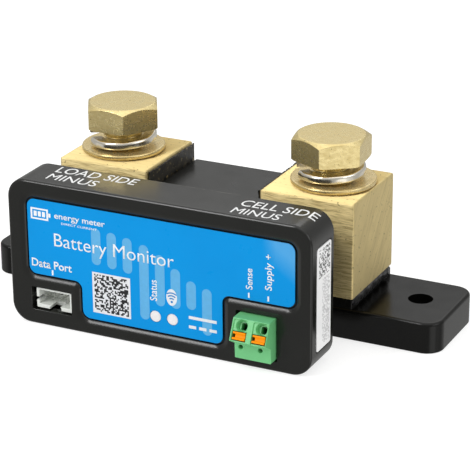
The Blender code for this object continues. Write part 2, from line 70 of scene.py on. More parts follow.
# ================================================================ outlines and solids
def outline(points, radii, grow=0.0, steps=6):
    """A closed polygon moved out by grow, with its corners rounded."""
    count = len(points)
    area = sum(
        points[i - 1][0] * points[i][1] - points[i][0] * points[i - 1][1] for i in range(count)
    )
    way = 1 if area > 0 else -1
    moved, round_by = [], []
    for i in range(count):
        before, here, after = (Vector(points[j]) for j in (i - 1, i, (i + 1) % count))
        a, b = (here - before).normalized(), (after - here).normalized()
        na, nb = Vector((a.y, -a.x)) * way, Vector((b.y, -b.x)) * way
        moved.append(here + (na + nb) * (grow / (1 + na.dot(nb))))
        convex = (a.x * b.y - a.y * b.x) * way > 0
        r = radii[i] if hasattr(radii, "__len__") else radii
        round_by.append(0 if r <= 0 else max(0.015, r + grow if convex else r - grow))
    out = []
    for i, (here, radius) in enumerate(zip(moved, round_by)):
        if radius <= 0:
            out.append((here.x, here.y))
            continue
        back = (moved[i - 1] - here).normalized()
        on = (moved[(i + 1) % count] - here).normalized()
        half = back.angle(on) / 2
        run = radius / math.tan(half)
        centre = here + (back + on).normalized() * (radius / math.sin(half))
        start, end = here + back * run - centre, here + on * run - centre
        turn = start.angle_signed(end)
        for k in range(steps + 1):
            a = -turn * k / steps
            out.append(
                (
                    centre.x + start.x * math.cos(a) - start.y * math.sin(a),
                    centre.y + start.x * math.sin(a) + start.y * math.cos(a),
                )
            )
    return out


def box_outline(u, v):
    return [(u[0], v[0]), (u[1], v[0]), (u[1], v[1]), (u[0], v[1])]


def spot(axis, along, u, v):
    return {"X": (along, u, v), "Y": (u, along, v), "Z": (u, v, along)}[axis]


def object_of(name, bm):
    mesh = bpy.data.meshes.new(name)
    bm.to_mesh(mesh)
    bm.free()
    obj = bpy.data.objects.new(name, mesh)
    bpy.context.scene.collection.objects.link(obj)
    return obj


def loft(name, rings, capped=True, looped=False):
    """A closed skin over rings of (x, d, z) points that all have the same count."""
    bm = bmesh.new()
    verts = [[bm.verts.new(pt(*p)) for p in ring] for ring in rings]
    count = len(rings[0])
    pairs = list(zip(verts, verts[1:])) + ([(verts[-1], verts[0])] if looped else [])
    for a, b in pairs:
        for i in range(count):
            j = (i + 1) % count
            bm.faces.new((a[i], a[j], b[j], b[i]))
    if capped and not looped:
        bm.faces.new(verts[0][::-1])
        bm.faces.new(verts[-1])
    bmesh.ops.recalc_face_normals(bm, faces=bm.faces)
    return object_of(name, bm)


def extruded(name, points, radii, stations, axis="Y", steps=6):
    """The outline carried along an axis.  A station is (place on the axis, growth there)."""
    return loft(
        name,
        [
            [spot(axis, at, u, v) for u, v in outline(points, radii, grow, steps)]
            for at, grow in stations
        ],
    )


def rolled(lo, hi, r_lo, r_hi, steps=4):
    """Stations of a solid whose two end faces have rounded edges."""
    out = []
    for k in range(steps + 1) if r_lo else []:
        a = math.pi / 2 * k / steps
        out.append((lo + r_lo * (1 - math.cos(a)), -r_lo * (1 - math.sin(a))))
    for k in range(steps + 1) if r_hi else []:
        a = math.pi / 2 * (1 - k / steps)
        out.append((hi - r_hi * (1 - math.cos(a)), -r_hi * (1 - math.sin(a))))
    if not r_lo:
        out.insert(0, (lo, 0))
    if not r_hi:
        out.append((hi, 0))
    return out


def flared(face, far, r, steps=3):
    """Stations of a cutter that leaves a rounded edge where it enters at face."""
    way = 1 if far > face else -1
    out = [(face - way * 1.0, r)]
    for k in range(steps + 1):
        a = math.pi / 2 * k / steps
        out.append((face + way * r * (1 - math.cos(a)), r * (1 - math.sin(a))))
    out.append((far, 0))
    return out


def block(name, x, d, z, edge=0.0, axis="Z", steps=2, corner=None):
    """A box with all its edges rounded."""
    u, v, w = {"Z": (x, d, z), "Y": (x, z, d), "X": (d, z, x)}[axis]
    corner = edge if corner is None else corner
    return extruded(
        name, box_outline(u, v), corner, rolled(w[0], w[1], edge, edge, max(2, steps)), axis, steps + 1
    )


def rod(name, radius, at, stations, axis="Z", sides=48):
    """A round bar or cutter.  Stations give the growth of its radius."""
    rings = []
    for along, grow in stations:
        ring = []
        for k in range(sides):
            a = 2 * math.pi * k / sides
            ring.append(
                spot(
                    axis, along, at[0] + (radius + grow) * math.cos(a),
                    at[1] + (radius + grow) * math.sin(a),
                )
            )
        rings.append(ring)
    return loft(name, rings)


def turned(name, profile, at, sides=96, looped=False):
    """A lathe shape about a vertical axis through (x, d), from (radius, height) points."""
    rings = []
    for k in range(sides):
        a = 2 * math.pi * k / sides
        rings.append([(at[0] + r * math.cos(a), at[1] + r * math.sin(a), z) for r, z in profile])
    bm = bmesh.new()
    poles = {}
    verts = []
    for ring in rings:
        row = []
        for i, ((r, z), p) in enumerate(zip(profile, ring)):
            if r < 1e-9:
                if i not in poles:
                    poles[i] = bm.verts.new(pt(*p))
                row.append(poles[i])
            else:
                row.append(bm.verts.new(pt(*p)))
        verts.append(row)
    last = len(profile) if looped else len(profile) - 1
    for k in range(sides):
        a, b = verts[k], verts[(k + 1) % sides]
        for i in range(last):
            j = (i + 1) % len(profile)
            corners = []
            for v in (a[i], b[i], b[j], a[j]):
                if v not in corners:
                    corners.append(v)
            if len(corners) > 2:
                bm.faces.new(corners)
    bmesh.ops.recalc_face_normals(bm, faces=bm.faces)
    return object_of(name, bm)


def carve(obj, *others, operation="DIFFERENCE"):
    """Cuts or joins other solids, and keeps the result as the object's mesh."""
    for other in others:
        mod = obj.modifiers.new("carve", "BOOLEAN")
        mod.operation = operation
        mod.solver = "EXACT"
        mod.object = other
    bpy.context.view_layer.update()
    graph = bpy.context.evaluated_depsgraph_get()
    mesh = bpy.data.meshes.new_from_object(obj.evaluated_get(graph))
    obj.modifiers.clear()
    old = obj.data
    obj.data = mesh
    bpy.data.meshes.remove(old)
    for other in others:
        bpy.data.objects.remove(other, do_unlink=True)
    bm = bmesh.new()
    bm.from_mesh(mesh)
    bmesh.ops.remove_doubles(bm, verts=bm.verts, dist=2e-7)
    bm.to_mesh(mesh)
    bm.free()
    return obj


def bevelled(obj, width, segments=2, degrees=30):
    mod = obj.modifiers.new("edge", "BEVEL")
    mod.width = width * MM
    mod.segments = segments
    mod.limit_method = "ANGLE"
    mod.angle_limit = math.radians(degrees)
    mod.use_clamp_overlap = True
    bpy.context.view_layer.update()
    graph = bpy.context.evaluated_depsgraph_get()
    mesh = bpy.data.meshes.new_from_object(obj.evaluated_get(graph))
    obj.modifiers.clear()
    old = obj.data
    obj.data = mesh
    bpy.data.meshes.remove(old)
    return obj


def piece(obj, body, material, replaces=(), degrees=34, flat=False):
    obj.data.materials.clear()
    obj.data.materials.append(material)
    if not flat:
        obj.data.shade_smooth()
        obj.data.set_sharp_from_angle(angle=math.radians(degrees))
        normals = obj.modifiers.new("normals", "WEIGHTED_NORMAL")
        normals.keep_sharp = True
        normals.weight = 80
    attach(obj, body)
    if replaces:
        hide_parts(*replaces)
    return obj


def joined(name, objects):
    """Several separate closed meshes as one object."""
    bm = bmesh.new()
    for obj in objects:
        mesh = obj.data
        mesh.transform(obj.matrix_world)
        bm.from_mesh(mesh)
        bpy.data.objects.remove(obj, do_unlink=True)
        bpy.data.meshes.remove(mesh)
    return object_of(name, bm)


# ================================================================ materials
def lin(r, g, b):
    """The linear colour of an sRGB one."""
    return tuple((c / 255 / 12.92) if c <= 10 else ((c / 255 + 0.055) / 1.055) ** 2.4 for c in (r, g, b))


class Mat:
    """A small builder of node materials."""

    def __init__(self, name, rgb, rough, metal=0.0, specular=0.5):
        self.mat = bpy.data.materials.new(name)
        self.mat.use_nodes = True
        self.tree = self.mat.node_tree
        self.shader = self.tree.nodes["Principled BSDF"]
        self.shader.inputs["Base Color"].default_value = (*rgb, 1)
        self.shader.inputs["Roughness"].default_value = rough
        self.shader.inputs["Metallic"].default_value = metal
        self.shader.inputs["Specular IOR Level"].default_value = specular
        self.mat.diffuse_color = (*rgb, 1)
        self.coords = self.tree.nodes.new("ShaderNodeTexCoord")

    def node(self, kind, inputs=None, **settings):
        made = self.tree.nodes.new(kind)
        for key, value in settings.items():
            setattr(made, key, value)
        for key, value in (inputs or {}).items():
            if isinstance(value, bpy.types.NodeSocket):
                self.tree.links.new(value, made.inputs[key])
            else:
                made.inputs[key].default_value = value
        return made

    def math(self, operation, a, b=0.0, c=0.0, clamp=False):
        return self.node(
            "ShaderNodeMath", {0: a, 1: b, 2: c}, operation=operation, use_clamp=clamp
        ).outputs[0]

    def scaled(self, scale, rotation=(0, 0, 0), vector=None):
        """Object coordinates turned, then scaled (per metre)."""
        vector = vector or self.coords.outputs["Object"]
        if any(rotation):
            vector = self.node(
                "ShaderNodeMapping", {"Vector": vector, "Rotation": rotation}
            ).outputs[0]
        return self.node("ShaderNodeMapping", {"Vector": vector, "Scale": scale}).outputs[0]

    def noise(self, scale=1000.0, detail=2.0, rough=0.5, vector=None):
        return self.node(
            "ShaderNodeTexNoise",
            {
                "Vector": vector or self.coords.outputs["Object"],
                "Scale": scale, "Detail": detail, "Roughness": rough,
            },
        ).outputs["Fac"]

    def ramp(self, value, lo, hi, out_lo=0.0, out_hi=1.0):
        return self.node(
            "ShaderNodeMapRange",
            {"Value": value, "From Min": lo, "From Max": hi, "To Min": out_lo, "To Max": out_hi},
            clamp=True,
        ).outputs[0]

    def mix(self, factor, a, b):
        made = self.node("ShaderNodeMix", data_type="RGBA")
        for index, value in ((0, factor), (6, a), (7, b)):
            if isinstance(value, bpy.types.NodeSocket):
                self.tree.links.new(value, made.inputs[index])
            else:
                made.inputs[index].default_value = (*value, 1) if index else value
        return made.outputs[2]

    def bump(self, height, strength, distance):
        normal = self.node(
            "ShaderNodeBump", {"Height": height, "Strength": strength, "Distance": distance}
        ).outputs[0]
        self.tree.links.new(normal, self.shader.inputs["Normal"])

    def set(self, socket, value):
        self.tree.links.new(value, self.shader.inputs[socket])

    def xyz(self, output="Object"):
        return self.node("ShaderNodeSeparateXYZ", {0: self.coords.outputs[output]}).outputs


def plastic(name, rgb, rough, variation=0.12, grain=0.10, specular=0.5, grain_scale=2600):
    """Moulded plastic: a fine moulded grain, faint cloudiness and small gloss changes."""
    m = Mat(name, rgb, rough, 0.0, specular)
    cloud = m.noise(60, 3, 0.55)
    fine = m.noise(grain_scale, 2, 0.5)
    dark = tuple(c * (1 - variation) for c in rgb)
    light = tuple(min(1, c * (1 + variation)) for c in rgb)
    m.set("Base Color", m.mix(m.ramp(cloud, 0.3, 0.7), dark, light))
    m.set("Roughness", m.ramp(m.noise(220, 3, 0.6), 0.3, 0.7, rough * 0.86, rough * 1.16))
    m.bump(fine, grain, 0.00003)
    return m.mat


def brass_of(name, rgb, dark, rough, lines="block", strength=0.35, spread=0.0, metal=1.0):
    """Brass with machining marks.  On the blocks the front and back are planed in long,
    wavy level lines and the ends in fine slanting ones."""
    m = Mat(name, rgb, rough, metal)
    if spread:
        # planed marks run level, so the shine spreads up and down (front to back on the top)
        m.shader.inputs["Anisotropic"].default_value = spread
        m.set("Tangent", m.node("ShaderNodeCombineXYZ", {0: 0.02, 1: 0.3, 2: 1.0}).outputs[0])
    wander = m.node(
        "ShaderNodeTexNoise",
        {"Vector": m.coords.outputs["Object"], "Scale": 150.0, "Detail": 2.0},
    ).outputs["Color"]
    shift = m.node(
        "ShaderNodeVectorMath", {0: wander, 1: (0.5, 0.5, 0.5)}, operation="SUBTRACT"
    ).outputs[0]
    shift = m.node(
        "ShaderNodeVectorMath", {0: shift, 1: (0.0, 0.0, 0.0011)}, operation="MULTIPLY"
    ).outputs[0]
    moved = m.node(
        "ShaderNodeVectorMath", {0: m.coords.outputs["Object"], 1: shift}, operation="ADD"
    ).outputs[0]
    if lines == "block":
        coarse = m.noise(1.0, 2, 0.6, m.scaled((110, 110, 2300), vector=moved))
        fine = m.noise(1.0, 3, 0.6, m.scaled((300, 300, 5200), vector=moved))
        level = m.math("ADD", m.math("MULTIPLY", coarse, 0.5), m.math("MULTIPLY", fine, 0.5))
        turn = (math.radians(-52), 0, 0)
        slant = m.math(
            "ADD",
            m.math("MULTIPLY", m.noise(1.0, 3, 0.6, m.scaled((300, 120, 3400), turn)), 0.55),
            m.math("MULTIPLY", m.noise(1.0, 2, 0.5, m.scaled((200, 60, 900), turn)), 0.45),
        )
        top = m.math(
            "ADD",
            m.math("MULTIPLY", m.noise(1.0, 3, 0.6, m.scaled((110, 2200, 110))), 0.6),
            m.math("MULTIPLY", m.noise(1.0, 2, 0.5, m.scaled((50, 500, 50))), 0.4),
        )
        normal = m.xyz("Normal")
        on_end = m.ramp(m.math("ABSOLUTE", normal[0]), 0.5, 0.8)
        on_top = m.ramp(m.math("ABSOLUTE", normal[2]), 0.5, 0.8)
        both = m.math("MULTIPLY", level, m.math("SUBTRACT", 1.0, on_end))
        both = m.math("ADD", both, m.math("MULTIPLY", slant, on_end))
        both = m.math("MULTIPLY", both, m.math("SUBTRACT", 1.0, on_top))
        height = m.math("ADD", both, m.math("MULTIPLY", top, on_top))
        # the ends and the top are smoother and more even than the planed front
        soft = m.math("MAXIMUM", m.math("MULTIPLY", on_end, 0.66), m.math("MULTIPLY", on_top, 0.72))
        contrast = m.math("SUBTRACT", 1.0, soft)
        mark = m.math("MULTIPLY", m.ramp(height, 0.38, 0.56, 1.0, 0.0), contrast)
        height = m.math("MULTIPLY", height, m.math("ADD", 0.25, m.math("MULTIPLY", contrast, 0.75)))
    else:
        a = m.noise(1.0, 3, 0.6, m.scaled((500, 500, 1500), vector=moved))
        b = m.noise(900, 3, 0.6)
        height = m.math("ADD", m.math("MULTIPLY", a, 0.5), m.math("MULTIPLY", b, 0.5))
        mark = m.ramp(height, 0.38, 0.66, 0.75, 0.0)
    pits = m.ramp(m.noise(1500, 1, 0.5), 0.70, 0.76)
    cloud = m.ramp(m.noise(110, 3, 0.6), 0.35, 0.7, 0.0, 0.22)
    colour = m.mix(m.math("MAXIMUM", mark, cloud), rgb, dark)
    colour = m.mix(m.math("MULTIPLY", pits, 0.7), colour, tuple(c * 0.35 for c in dark))
    m.set("Base Color", colour)
    m.set("Roughness", m.ramp(height, 0.3, 0.7, rough * 1.25, rough * 0.85))
    m.bump(m.math("SUBTRACT", height, m.math("MULTIPLY", pits, 0.5)), strength, 0.00004)
    return m.mat


def metal(name, rgb, rough, scale=(900, 900, 5000), strength=0.06):
    m = Mat(name, rgb, rough, 1.0)
    streak = m.noise(1.0, 3, 0.6, m.scaled(scale))
    cloud = m.noise(260, 3, 0.6)
    m.set("Base Color", m.mix(m.ramp(cloud, 0.3, 0.75, 0.0, 0.6), rgb, tuple(c * 0.72 for c in rgb)))
    m.set("Roughness", m.ramp(m.noise(420, 3, 0.6), 0.3, 0.7, rough * 0.8, rough * 1.3))
    m.bump(streak, strength, 0.00002)
    return m.mat


CARRIER = plastic("carrier_black_plastic", (0.0030, 0.0030, 0.0026), 0.20, 0.2, 0.05, 0.28)
HOUSING = plastic("housing_black_plastic", (0.0060, 0.0061, 0.0056), 0.32, 0.2, 0.10)
BRASS_BLOCK = brass_of("planed_brass", (0.93, 0.77, 0.39), (0.46, 0.34, 0.14), 0.55, strength=0.8, spread=0.88, metal=0.74)
BRASS_BOLT = brass_of("bolt_brass", (0.88, 0.735, 0.375), (0.66, 0.51, 0.21), 0.27, "bolt", 0.06, metal=0.84)
BRASS_WASHER = brass_of("washer_brass", (0.89, 0.73, 0.39), (0.62, 0.46, 0.18), 0.26, "bolt", 0.06, metal=0.78)
NICKEL = metal("nickel_plate", (0.94, 0.89, 0.78), 0.21, (700, 700, 2600), 0.03)
STEEL = metal("zinc_steel", (0.62, 0.62, 0.60), 0.30)
TIN = metal("tinned_pin", (0.76, 0.76, 0.74), 0.26)
STRIP = metal("manganin_strip", (0.50, 0.36, 0.27), 0.38, (300, 300, 6000), 0.10)
PORT = plastic("port_nylon", (0.74, 0.76, 0.72), 0.42, 0.06, 0.10)
GREEN = plastic("terminal_nylon", (0.150, 0.520, 0.205), 0.34, 0.08, 0.10, 0.6)
ORANGE = plastic("lever_nylon", (0.93, 0.285, 0.0), 0.42, 0.06, 0.08, 0.15)
CHIP = plastic("chip_black_epoxy", (0.018, 0.018, 0.020), 0.45, 0.2, 0.2)
CERAMIC = plastic("antenna_ceramic", (0.62, 0.58, 0.48), 0.5, 0.1, 0.1)


def film_blue():
    """Printed polyester film: an even blue with a faint orange-peel surface, and a painted
    reflection: a paler wedge at its upper right corner."""
    rgb = (0.0, 0.258, 0.655)
    m = Mat("label_blue_film", rgb, 0.30, 0.0, 0.10)
    x, _, z = m.xyz()
    x = m.math("SUBTRACT", x, MIDDLE_X * MM)
    # painted reflection wedge: rises to the corner, and is fine-edged along one slanting line
    line = m.math("ADD", m.math("MULTIPLY", x, 1.0), m.math("MULTIPLY", z, 1.45))
    reflection_wedge = m.ramp(line, 0.0658, 0.0745)
    reflection_wedge = m.math("MULTIPLY", reflection_wedge, m.ramp(x, 0.0255, 0.0290))
    cloud = m.ramp(m.noise(70, 2, 0.5), 0.3, 0.7)
    base = m.mix(m.math("MULTIPLY", cloud, 0.5), rgb, (0.0, 0.285, 0.70))
    # painted reflection: the wedge mixes the blue towards a paler blue
    base = m.mix(m.math("MULTIPLY", reflection_wedge, 0.62), base, (0.12, 0.40, 0.71))
    m.set("Base Color", base)
    m.set("Roughness", m.ramp(m.noise(300, 3, 0.6), 0.3, 0.7, 0.27, 0.34))
    m.bump(m.noise(900, 2, 0.5), 0.05, 0.00003)
    return m.mat


def ink(name, rgb, patch=0.04):
    """Screen-printed ink, very slightly uneven."""
    m = Mat(name, rgb, 0.48, 0.0, 0.3)
    cloud = m.ramp(m.noise(900, 3, 0.6), 0.3, 0.7)
    m.set("Base Color", m.mix(cloud, tuple(c * (1 - patch * 2) for c in rgb), rgb))
    m.bump(m.noise(3500, 2, 0.5), 0.08, 0.00001)
    return m.mat


def side_film():
    """White paper-backed film.  It has made-up marks only: a patch of random cells above
    and a strip of random specks below, neither of them readable."""
    m = Mat("side_label_film", (0.80, 0.80, 0.80), 0.42, 0.0, 0.4)
    _, y, z = m.xyz()
    y0, z0 = (FACE_Y + 3.0 * MM), 0.0

    def cells(size_y, size_z, share):
        cell_y = m.math("FLOOR", m.math("DIVIDE", m.math("SUBTRACT", y, y0), size_y * MM))
        cell_z = m.math("FLOOR", m.math("DIVIDE", m.math("SUBTRACT", z, z0), size_z * MM))
        where = m.node("ShaderNodeCombineXYZ", {0: cell_y, 1: cell_z, 2: 3.0}).outputs[0]
        value = m.node("ShaderNodeTexWhiteNoise", {"Vector": where}).outputs["Value"]
        return m.math("LESS_THAN", value, share)

    def band(value, lo, hi):
        return m.math(
            "MULTIPLY", m.math("GREATER_THAN", value, lo), m.math("LESS_THAN", value, hi)
        )

    patch = m.math("MULTIPLY", band(z, 23.4 * MM, 30.4 * MM), band(y, y0 + 1.0 * MM, y0 + 7.2 * MM))
    strip = m.math("MULTIPLY", band(z, 6.4 * MM, 22.8 * MM), band(y, y0 + 3.0 * MM, y0 + 7.1 * MM))
    dark = m.math("MULTIPLY", patch, cells(0.30, 0.30, 0.46))
    grey = m.math("MULTIPLY", strip, m.math("MULTIPLY", cells(0.34, 0.30, 0.5), 0.45))
    cloud = m.ramp(m.noise(200, 3, 0.6), 0.3, 0.7)
    base = m.mix(cloud, (0.86, 0.86, 0.865), (0.91, 0.91, 0.91))
    base = m.mix(grey, base, (0.24, 0.24, 0.25))
    base = m.mix(m.math("MULTIPLY", dark, 0.93), base, (0.02, 0.02, 0.022))
    m.set("Base Color", base)
    m.set("Roughness", m.ramp(m.noise(500, 2, 0.5), 0.3, 0.7, 0.38, 0.46))
    m.bump(m.noise(1800, 2, 0.5), 0.05, 0.00002)
    return m.mat


def sheet_black():
    """Insulating sheet beside the blocks: rough, dusty, with brass chips stuck to it."""
    m = Mat("insulator_sheet_black", (0.022, 0.021, 0.018), 0.5)
    lump = m.noise(420, 4, 0.65)
    fleck = m.ramp(m.noise(950, 3, 0.7), 0.60, 0.66)
    dust = m.ramp(lump, 0.45, 0.72)
    base = m.mix(m.math("MULTIPLY", dust, 0.55), (0.010, 0.0095, 0.008), (0.080, 0.066, 0.040))
    m.set("Base Color", m.mix(m.math("MULTIPLY", fleck, 0.8), base, (0.42, 0.33, 0.17)))
    m.set("Roughness", m.ramp(lump, 0.3, 0.7, 0.30, 0.62))
    m.bump(lump, 0.9, 0.00022)
    return m.mat


def cap_black():
    """The cap between the blocks, with a painted highlight along its edge towards the box: light brownish flecks in the
    colour, and chips in the bump.
    """
    m = Mat("bridge_black_plastic", (0.0072, 0.0074, 0.0062), 0.23)
    _, y, _ = m.xyz()
    # edge masks the edge towards the box, where the flecks are painted highlight
    edge = m.ramp(y, FACE_Y + 21.9 * MM, FACE_Y + 21.5 * MM)
    chip_and_glint = m.ramp(m.noise(620, 3, 0.65), 0.54, 0.62)
    base = m.mix(m.ramp(m.noise(70, 3, 0.6), 0.3, 0.7), (0.0058, 0.0060, 0.0050), (0.0084, 0.0086, 0.0072))
    # painted highlight: light flecks along the edge towards the box
    base = m.mix(m.math("MULTIPLY", m.math("MULTIPLY", edge, chip_and_glint), 0.8), base, (0.20, 0.15, 0.10))
    m.set("Base Color", base)
    m.set("Roughness", m.ramp(m.noise(240, 3, 0.6), 0.3, 0.7, 0.20, 0.28))
    m.bump(m.math("ADD", m.noise(2600, 2, 0.5), m.math("MULTIPLY", m.math("MULTIPLY", edge, chip_and_glint), 6.0)), 0.12, 0.00003)
    return m.mat


def shell_black():
    """The box, with a painted highlight along the roof's rear edge: light flecks mixed into the colour, and chips in
    the bump.
    """
    m = Mat("box_black_plastic", (0.0072, 0.0074, 0.0062), 0.23)
    x, y, z = m.xyz()
    # edge masks the roof's rear edge, where the light flecks are painted highlight
    edge = m.math("MULTIPLY", m.ramp(y, FACE_Y + 12.15 * MM, FACE_Y + 12.4 * MM), m.ramp(z, 36.6 * MM, 36.9 * MM))
    edge = m.math("MULTIPLY", edge, m.ramp(m.math("ABSOLUTE", m.math("SUBTRACT", x, MIDDLE_X * MM)), 14.6 * MM, 14.2 * MM))
    chip_and_glint = m.ramp(m.noise(520, 3, 0.65), 0.42, 0.58)
    base = m.mix(m.ramp(m.noise(60, 3, 0.55), 0.3, 0.7), (0.0058, 0.0060, 0.0050), (0.0086, 0.0088, 0.0074))
    # painted highlight: light flecks along the roof's rear edge
    base = m.mix(m.math("MULTIPLY", m.math("MULTIPLY", edge, chip_and_glint), 0.85), base, (0.30, 0.28, 0.24))
    m.set("Base Color", base)
    m.set("Roughness", m.ramp(m.noise(220, 3, 0.6), 0.3, 0.7, 0.20, 0.27))
    m.bump(m.math("ADD", m.noise(2600, 2, 0.5), m.math("MULTIPLY", m.math("MULTIPLY", edge, chip_and_glint), 5.0)), 0.06, 0.00003)
    return m.mat


def board_green():
    m = Mat("board_solder_mask", (0.012, 0.105, 0.045), 0.34)
    _, _, z = m.xyz()
    x = m.xyz()[0]
    tracks = m.math("LESS_THAN", m.math("FRACT", m.math("MULTIPLY", m.math("ADD", x, z), 380.0)), 0.35)
    area = m.ramp(m.noise(130, 1, 0.5), 0.50, 0.53)
    m.set("Base Color", m.mix(m.math("MULTIPLY", tracks, area), (0.010, 0.088, 0.036), (0.022, 0.150, 0.066)))
    m.set("Roughness", m.ramp(m.noise(600, 2, 0.5), 0.3, 0.7, 0.30, 0.42))
    m.bump(m.math("MULTIPLY", tracks, area), 0.25, 0.00003)
    return m.mat


def lens(name, rgb):
    m = Mat(name, rgb, 0.28, 0.0, 0.5)
    m.set("Base Color", m.mix(m.ramp(m.noise(700, 2, 0.5), 0.3, 0.7), tuple(c * 0.94 for c in rgb), rgb))
    m.set("Roughness", m.ramp(m.noise(500, 2, 0.5), 0.3, 0.7, 0.24, 0.34))
    m.shader.inputs["Subsurface Weight"].default_value = 0.15
    m.shader.inputs["Subsurface Radius"].default_value = (0.001, 0.001, 0.001)
    return m.mat


def sealant():
    m = Mat("black_sealant", (0.012, 0.0125, 0.0135), 0.24)
    lump = m.noise(520, 3, 0.6)
    m.set("Base Color", m.mix(m.ramp(lump, 0.4, 0.7), (0.008, 0.008, 0.009), (0.022, 0.022, 0.022)))
    m.set("Roughness", m.ramp(lump, 0.3, 0.7, 0.18, 0.36))
    m.bump(lump, 0.5, 0.0002)
    return m.mat


BLUE = film_blue()
WHITE_INK = ink("ink_white", (0.84, 0.85, 0.86))
MARK_INK = ink("ink_warm_white", (0.74, 0.755, 0.78))
PALE_INK = ink("ink_pale_blue", (0.105, 0.405, 0.715))
BLACK_INK = ink("ink_black", (0.018, 0.018, 0.020))
BLUE_INK = ink("ink_blue", (0.02, 0.22, 0.55))
SIDE_FILM = side_film()
SHEET = sheet_black()
CAP = cap_black()
SHELL = shell_black()
BOARD = board_green()
LENS = lens("light_pipe_acrylic", (0.80, 0.77, 0.775))
LED = lens("led_lens_epoxy", (0.70, 0.72, 0.78))
SEALANT = sealant()

# ================================================================ carrier
(CX0, CX1), (CD0, CD1), (CZ0, CARRIER_TOP) = limits("base_carrier")
PLINTH_TOP = CARRIER_TOP
CARRIER_TOP = 7.8
EAR_X, EAR_D, EAR_R = (-52.1, 50.3), 37.3, 3.0
PLINTH_X = 37.9
carrier = extruded(
    "carrier_body", box_outline((CX0, CX1), (CD0, CD1)), 4.5,
    rolled(0.0, CARRIER_TOP, 0.35, 0.85, 5), "Z", 12,
)
plinth = extruded(
    "plinth",
    [
        (CD0 + 0.5, 5.0), (CD1 - 0.4, 5.0), (CD1 - 0.4, 9.5), (46.2, PLINTH_TOP),
        (CD0 + 0.5, PLINTH_TOP),
    ],
    [0.2, 0.2, 0.4, 0.4, 0.35], rolled(-PLINTH_X, PLINTH_X, 0.3, 0.3, 3), "X", 4,
)
carve(carrier, plinth, operation="UNION")
SCREWS = [(-22.0, 41.0), (-35.0, 28.4), (22.0, 41.0), (35.0, 28.4)]
cutters = [
    rod(f"ear_{k}", EAR_R, (x, EAR_D), [
        (-1, 0.3), (0, 0.3), (0.3, 0), (CARRIER_TOP - 0.18, 0),
        (CARRIER_TOP - 0.05, 0.05), (CARRIER_TOP, 0.18), (CARRIER_TOP + 1, 0.18),
    ], sides=64)
    for k, x in enumerate(EAR_X)
]
for x, d in SCREWS:
    cutters.append(rod("well", 3.9, (x, d), [(-1, 0.25), (0, 0.25), (0.25, 0), (3.3, 0)], sides=40))
    cutters.append(rod("well_through", 2.35, (x, d), [(3.0, 0), (12.5, 0)], sides=32))
carve(carrier, *cutters)
piece(carrier, "root", CARRIER, ["base_carrier"])

for i, (x, d) in enumerate(SCREWS, 1):
    screw = turned(
        f"block_screw_head_{i}",
        [
            (0, 18.6), (1.4, 18.6), (2.0, 17.9), (2.0, 3.0), (3.3, 2.9), (3.5, 2.7),
            (3.5, 1.0), (3.1, 0.55), (0, 0.5),
        ],
        (x, d), 48,
    )
    carve(screw, rod("socket", 1.45, (x, d), [(-1, 0.15), (0.5, 0.15), (0.65, 0), (1.9, 0)], sides=6))
    piece(screw, "root", STEEL, [f"block_screw_{i}"])


# ================================================================ blocks, strips and cap
def lumpy_sheet(name, x, d, z, open_below, seed):
    """A thin sheet with an uneven cut edge and an uneven skin."""
    rng = random.Random(seed)
    points = [(d[0], z[0])]
    if open_below:
        points += [(open_below[0], z[0]), (open_below[0], open_below[2]),
                   (open_below[1], open_below[2]), (open_below[1], z[0])]
    points += [(d[1], z[0]), (d[1], z[1])]
    steps = 46
    for k in range(1, steps):
        t = k / steps
        points.append((d[1] + (d[0] - d[1]) * t, z[1] - rng.uniform(0.0, 0.42) * (1 if k % 3 else 0.3)))
    points.append((d[0], z[1]))
    for k in range(1, 9):
        points.append((d[0] + rng.uniform(0.0, 0.30), z[1] + (30.0 - z[1]) * k / 9))
    return loft(name, [[(at, u, v) for u, v in points] for at in x])


SIDES = (("system", -1), ("battery", 1))
STRIP_D = (26.5, 33.4, 40.3)
BOLT_X = 28.2
for name, side in SIDES:
    x, d, z = limits(f"terminal_block_{name}")
    body = extruded(
        f"brass_block_{name}", box_outline(x, d), 0.45, rolled(z[0], z[1], 0.45, 0.55, 4), "Z", 4
    )
    cuts = [
        rod("bore", 5.15, (side * BOLT_X, 33.5), [(14.6, 0), (z[1] - 0.4, 0), (z[1], 0.4), (z[1] + 1, 0.4)], sides=64),
        rod("sense", 1.9, (side * 22.0, 24.0), [(15, 0), (27.6, 0)], "Y", 28),
    ]
    sx = sorted((side * 14.0, side * 18.6))
    for k in STRIP_D:
        cuts.append(block("slot", sx, (k - 1.1, k + 1.1), (13.7, 28.3), 0.0))
    for px, pd in SCREWS:
        if px * side > 0:
            cuts.append(rod("screw_hole", 2.35, (px, pd), [(5, 0), (19.2, 0)], sides=28))
    carve(body, *cuts)
    piece(body, "root", BRASS_BLOCK, [f"terminal_block_{name}"])

    x, d, z = limits(f"insulator_{name}")
    sheet = lumpy_sheet(f"insulator_sheet_{name}", x, d, z, (25.0, 42.0, 28.6), 11 if side < 0 else 12)
    piece(sheet, "root", SHEET, [f"insulator_{name}"], flat=True)

x, d, z = limits("bridge_cover")
cap = extruded("bridge_cap", box_outline(x, d), 0.5, rolled(z[0], z[1], 0.3, 0.45, 4), "Z", 4)
carve(
    cap,
    block("hollow", (x[0] + 1.6, x[1] - 1.6), (d[0] + 1.6, d[1] - 1.6), (5, z[1] - 1.6), 0.0),
    block("sides", (-20, 20), (25.0, 42.0), (5, 28.6), 0.0),
)
piece(cap, "root", CAP, ["bridge_cover"])

for k in (1, 2, 3):
    x, d, z = limits(f"resistor_strip_{k}")
    strip = block(f"manganin_bar_{k}", x, d, z, 0.12, "X", 2)
    if k == 2:
        carve(strip, rod("notch", 1.6, (0.0, z[0]), [(d[0] - 1, 0), (d[1] + 1, 0)], "Y", 32))
    piece(strip, "root", STRIP, [f"resistor_strip_{k}"])


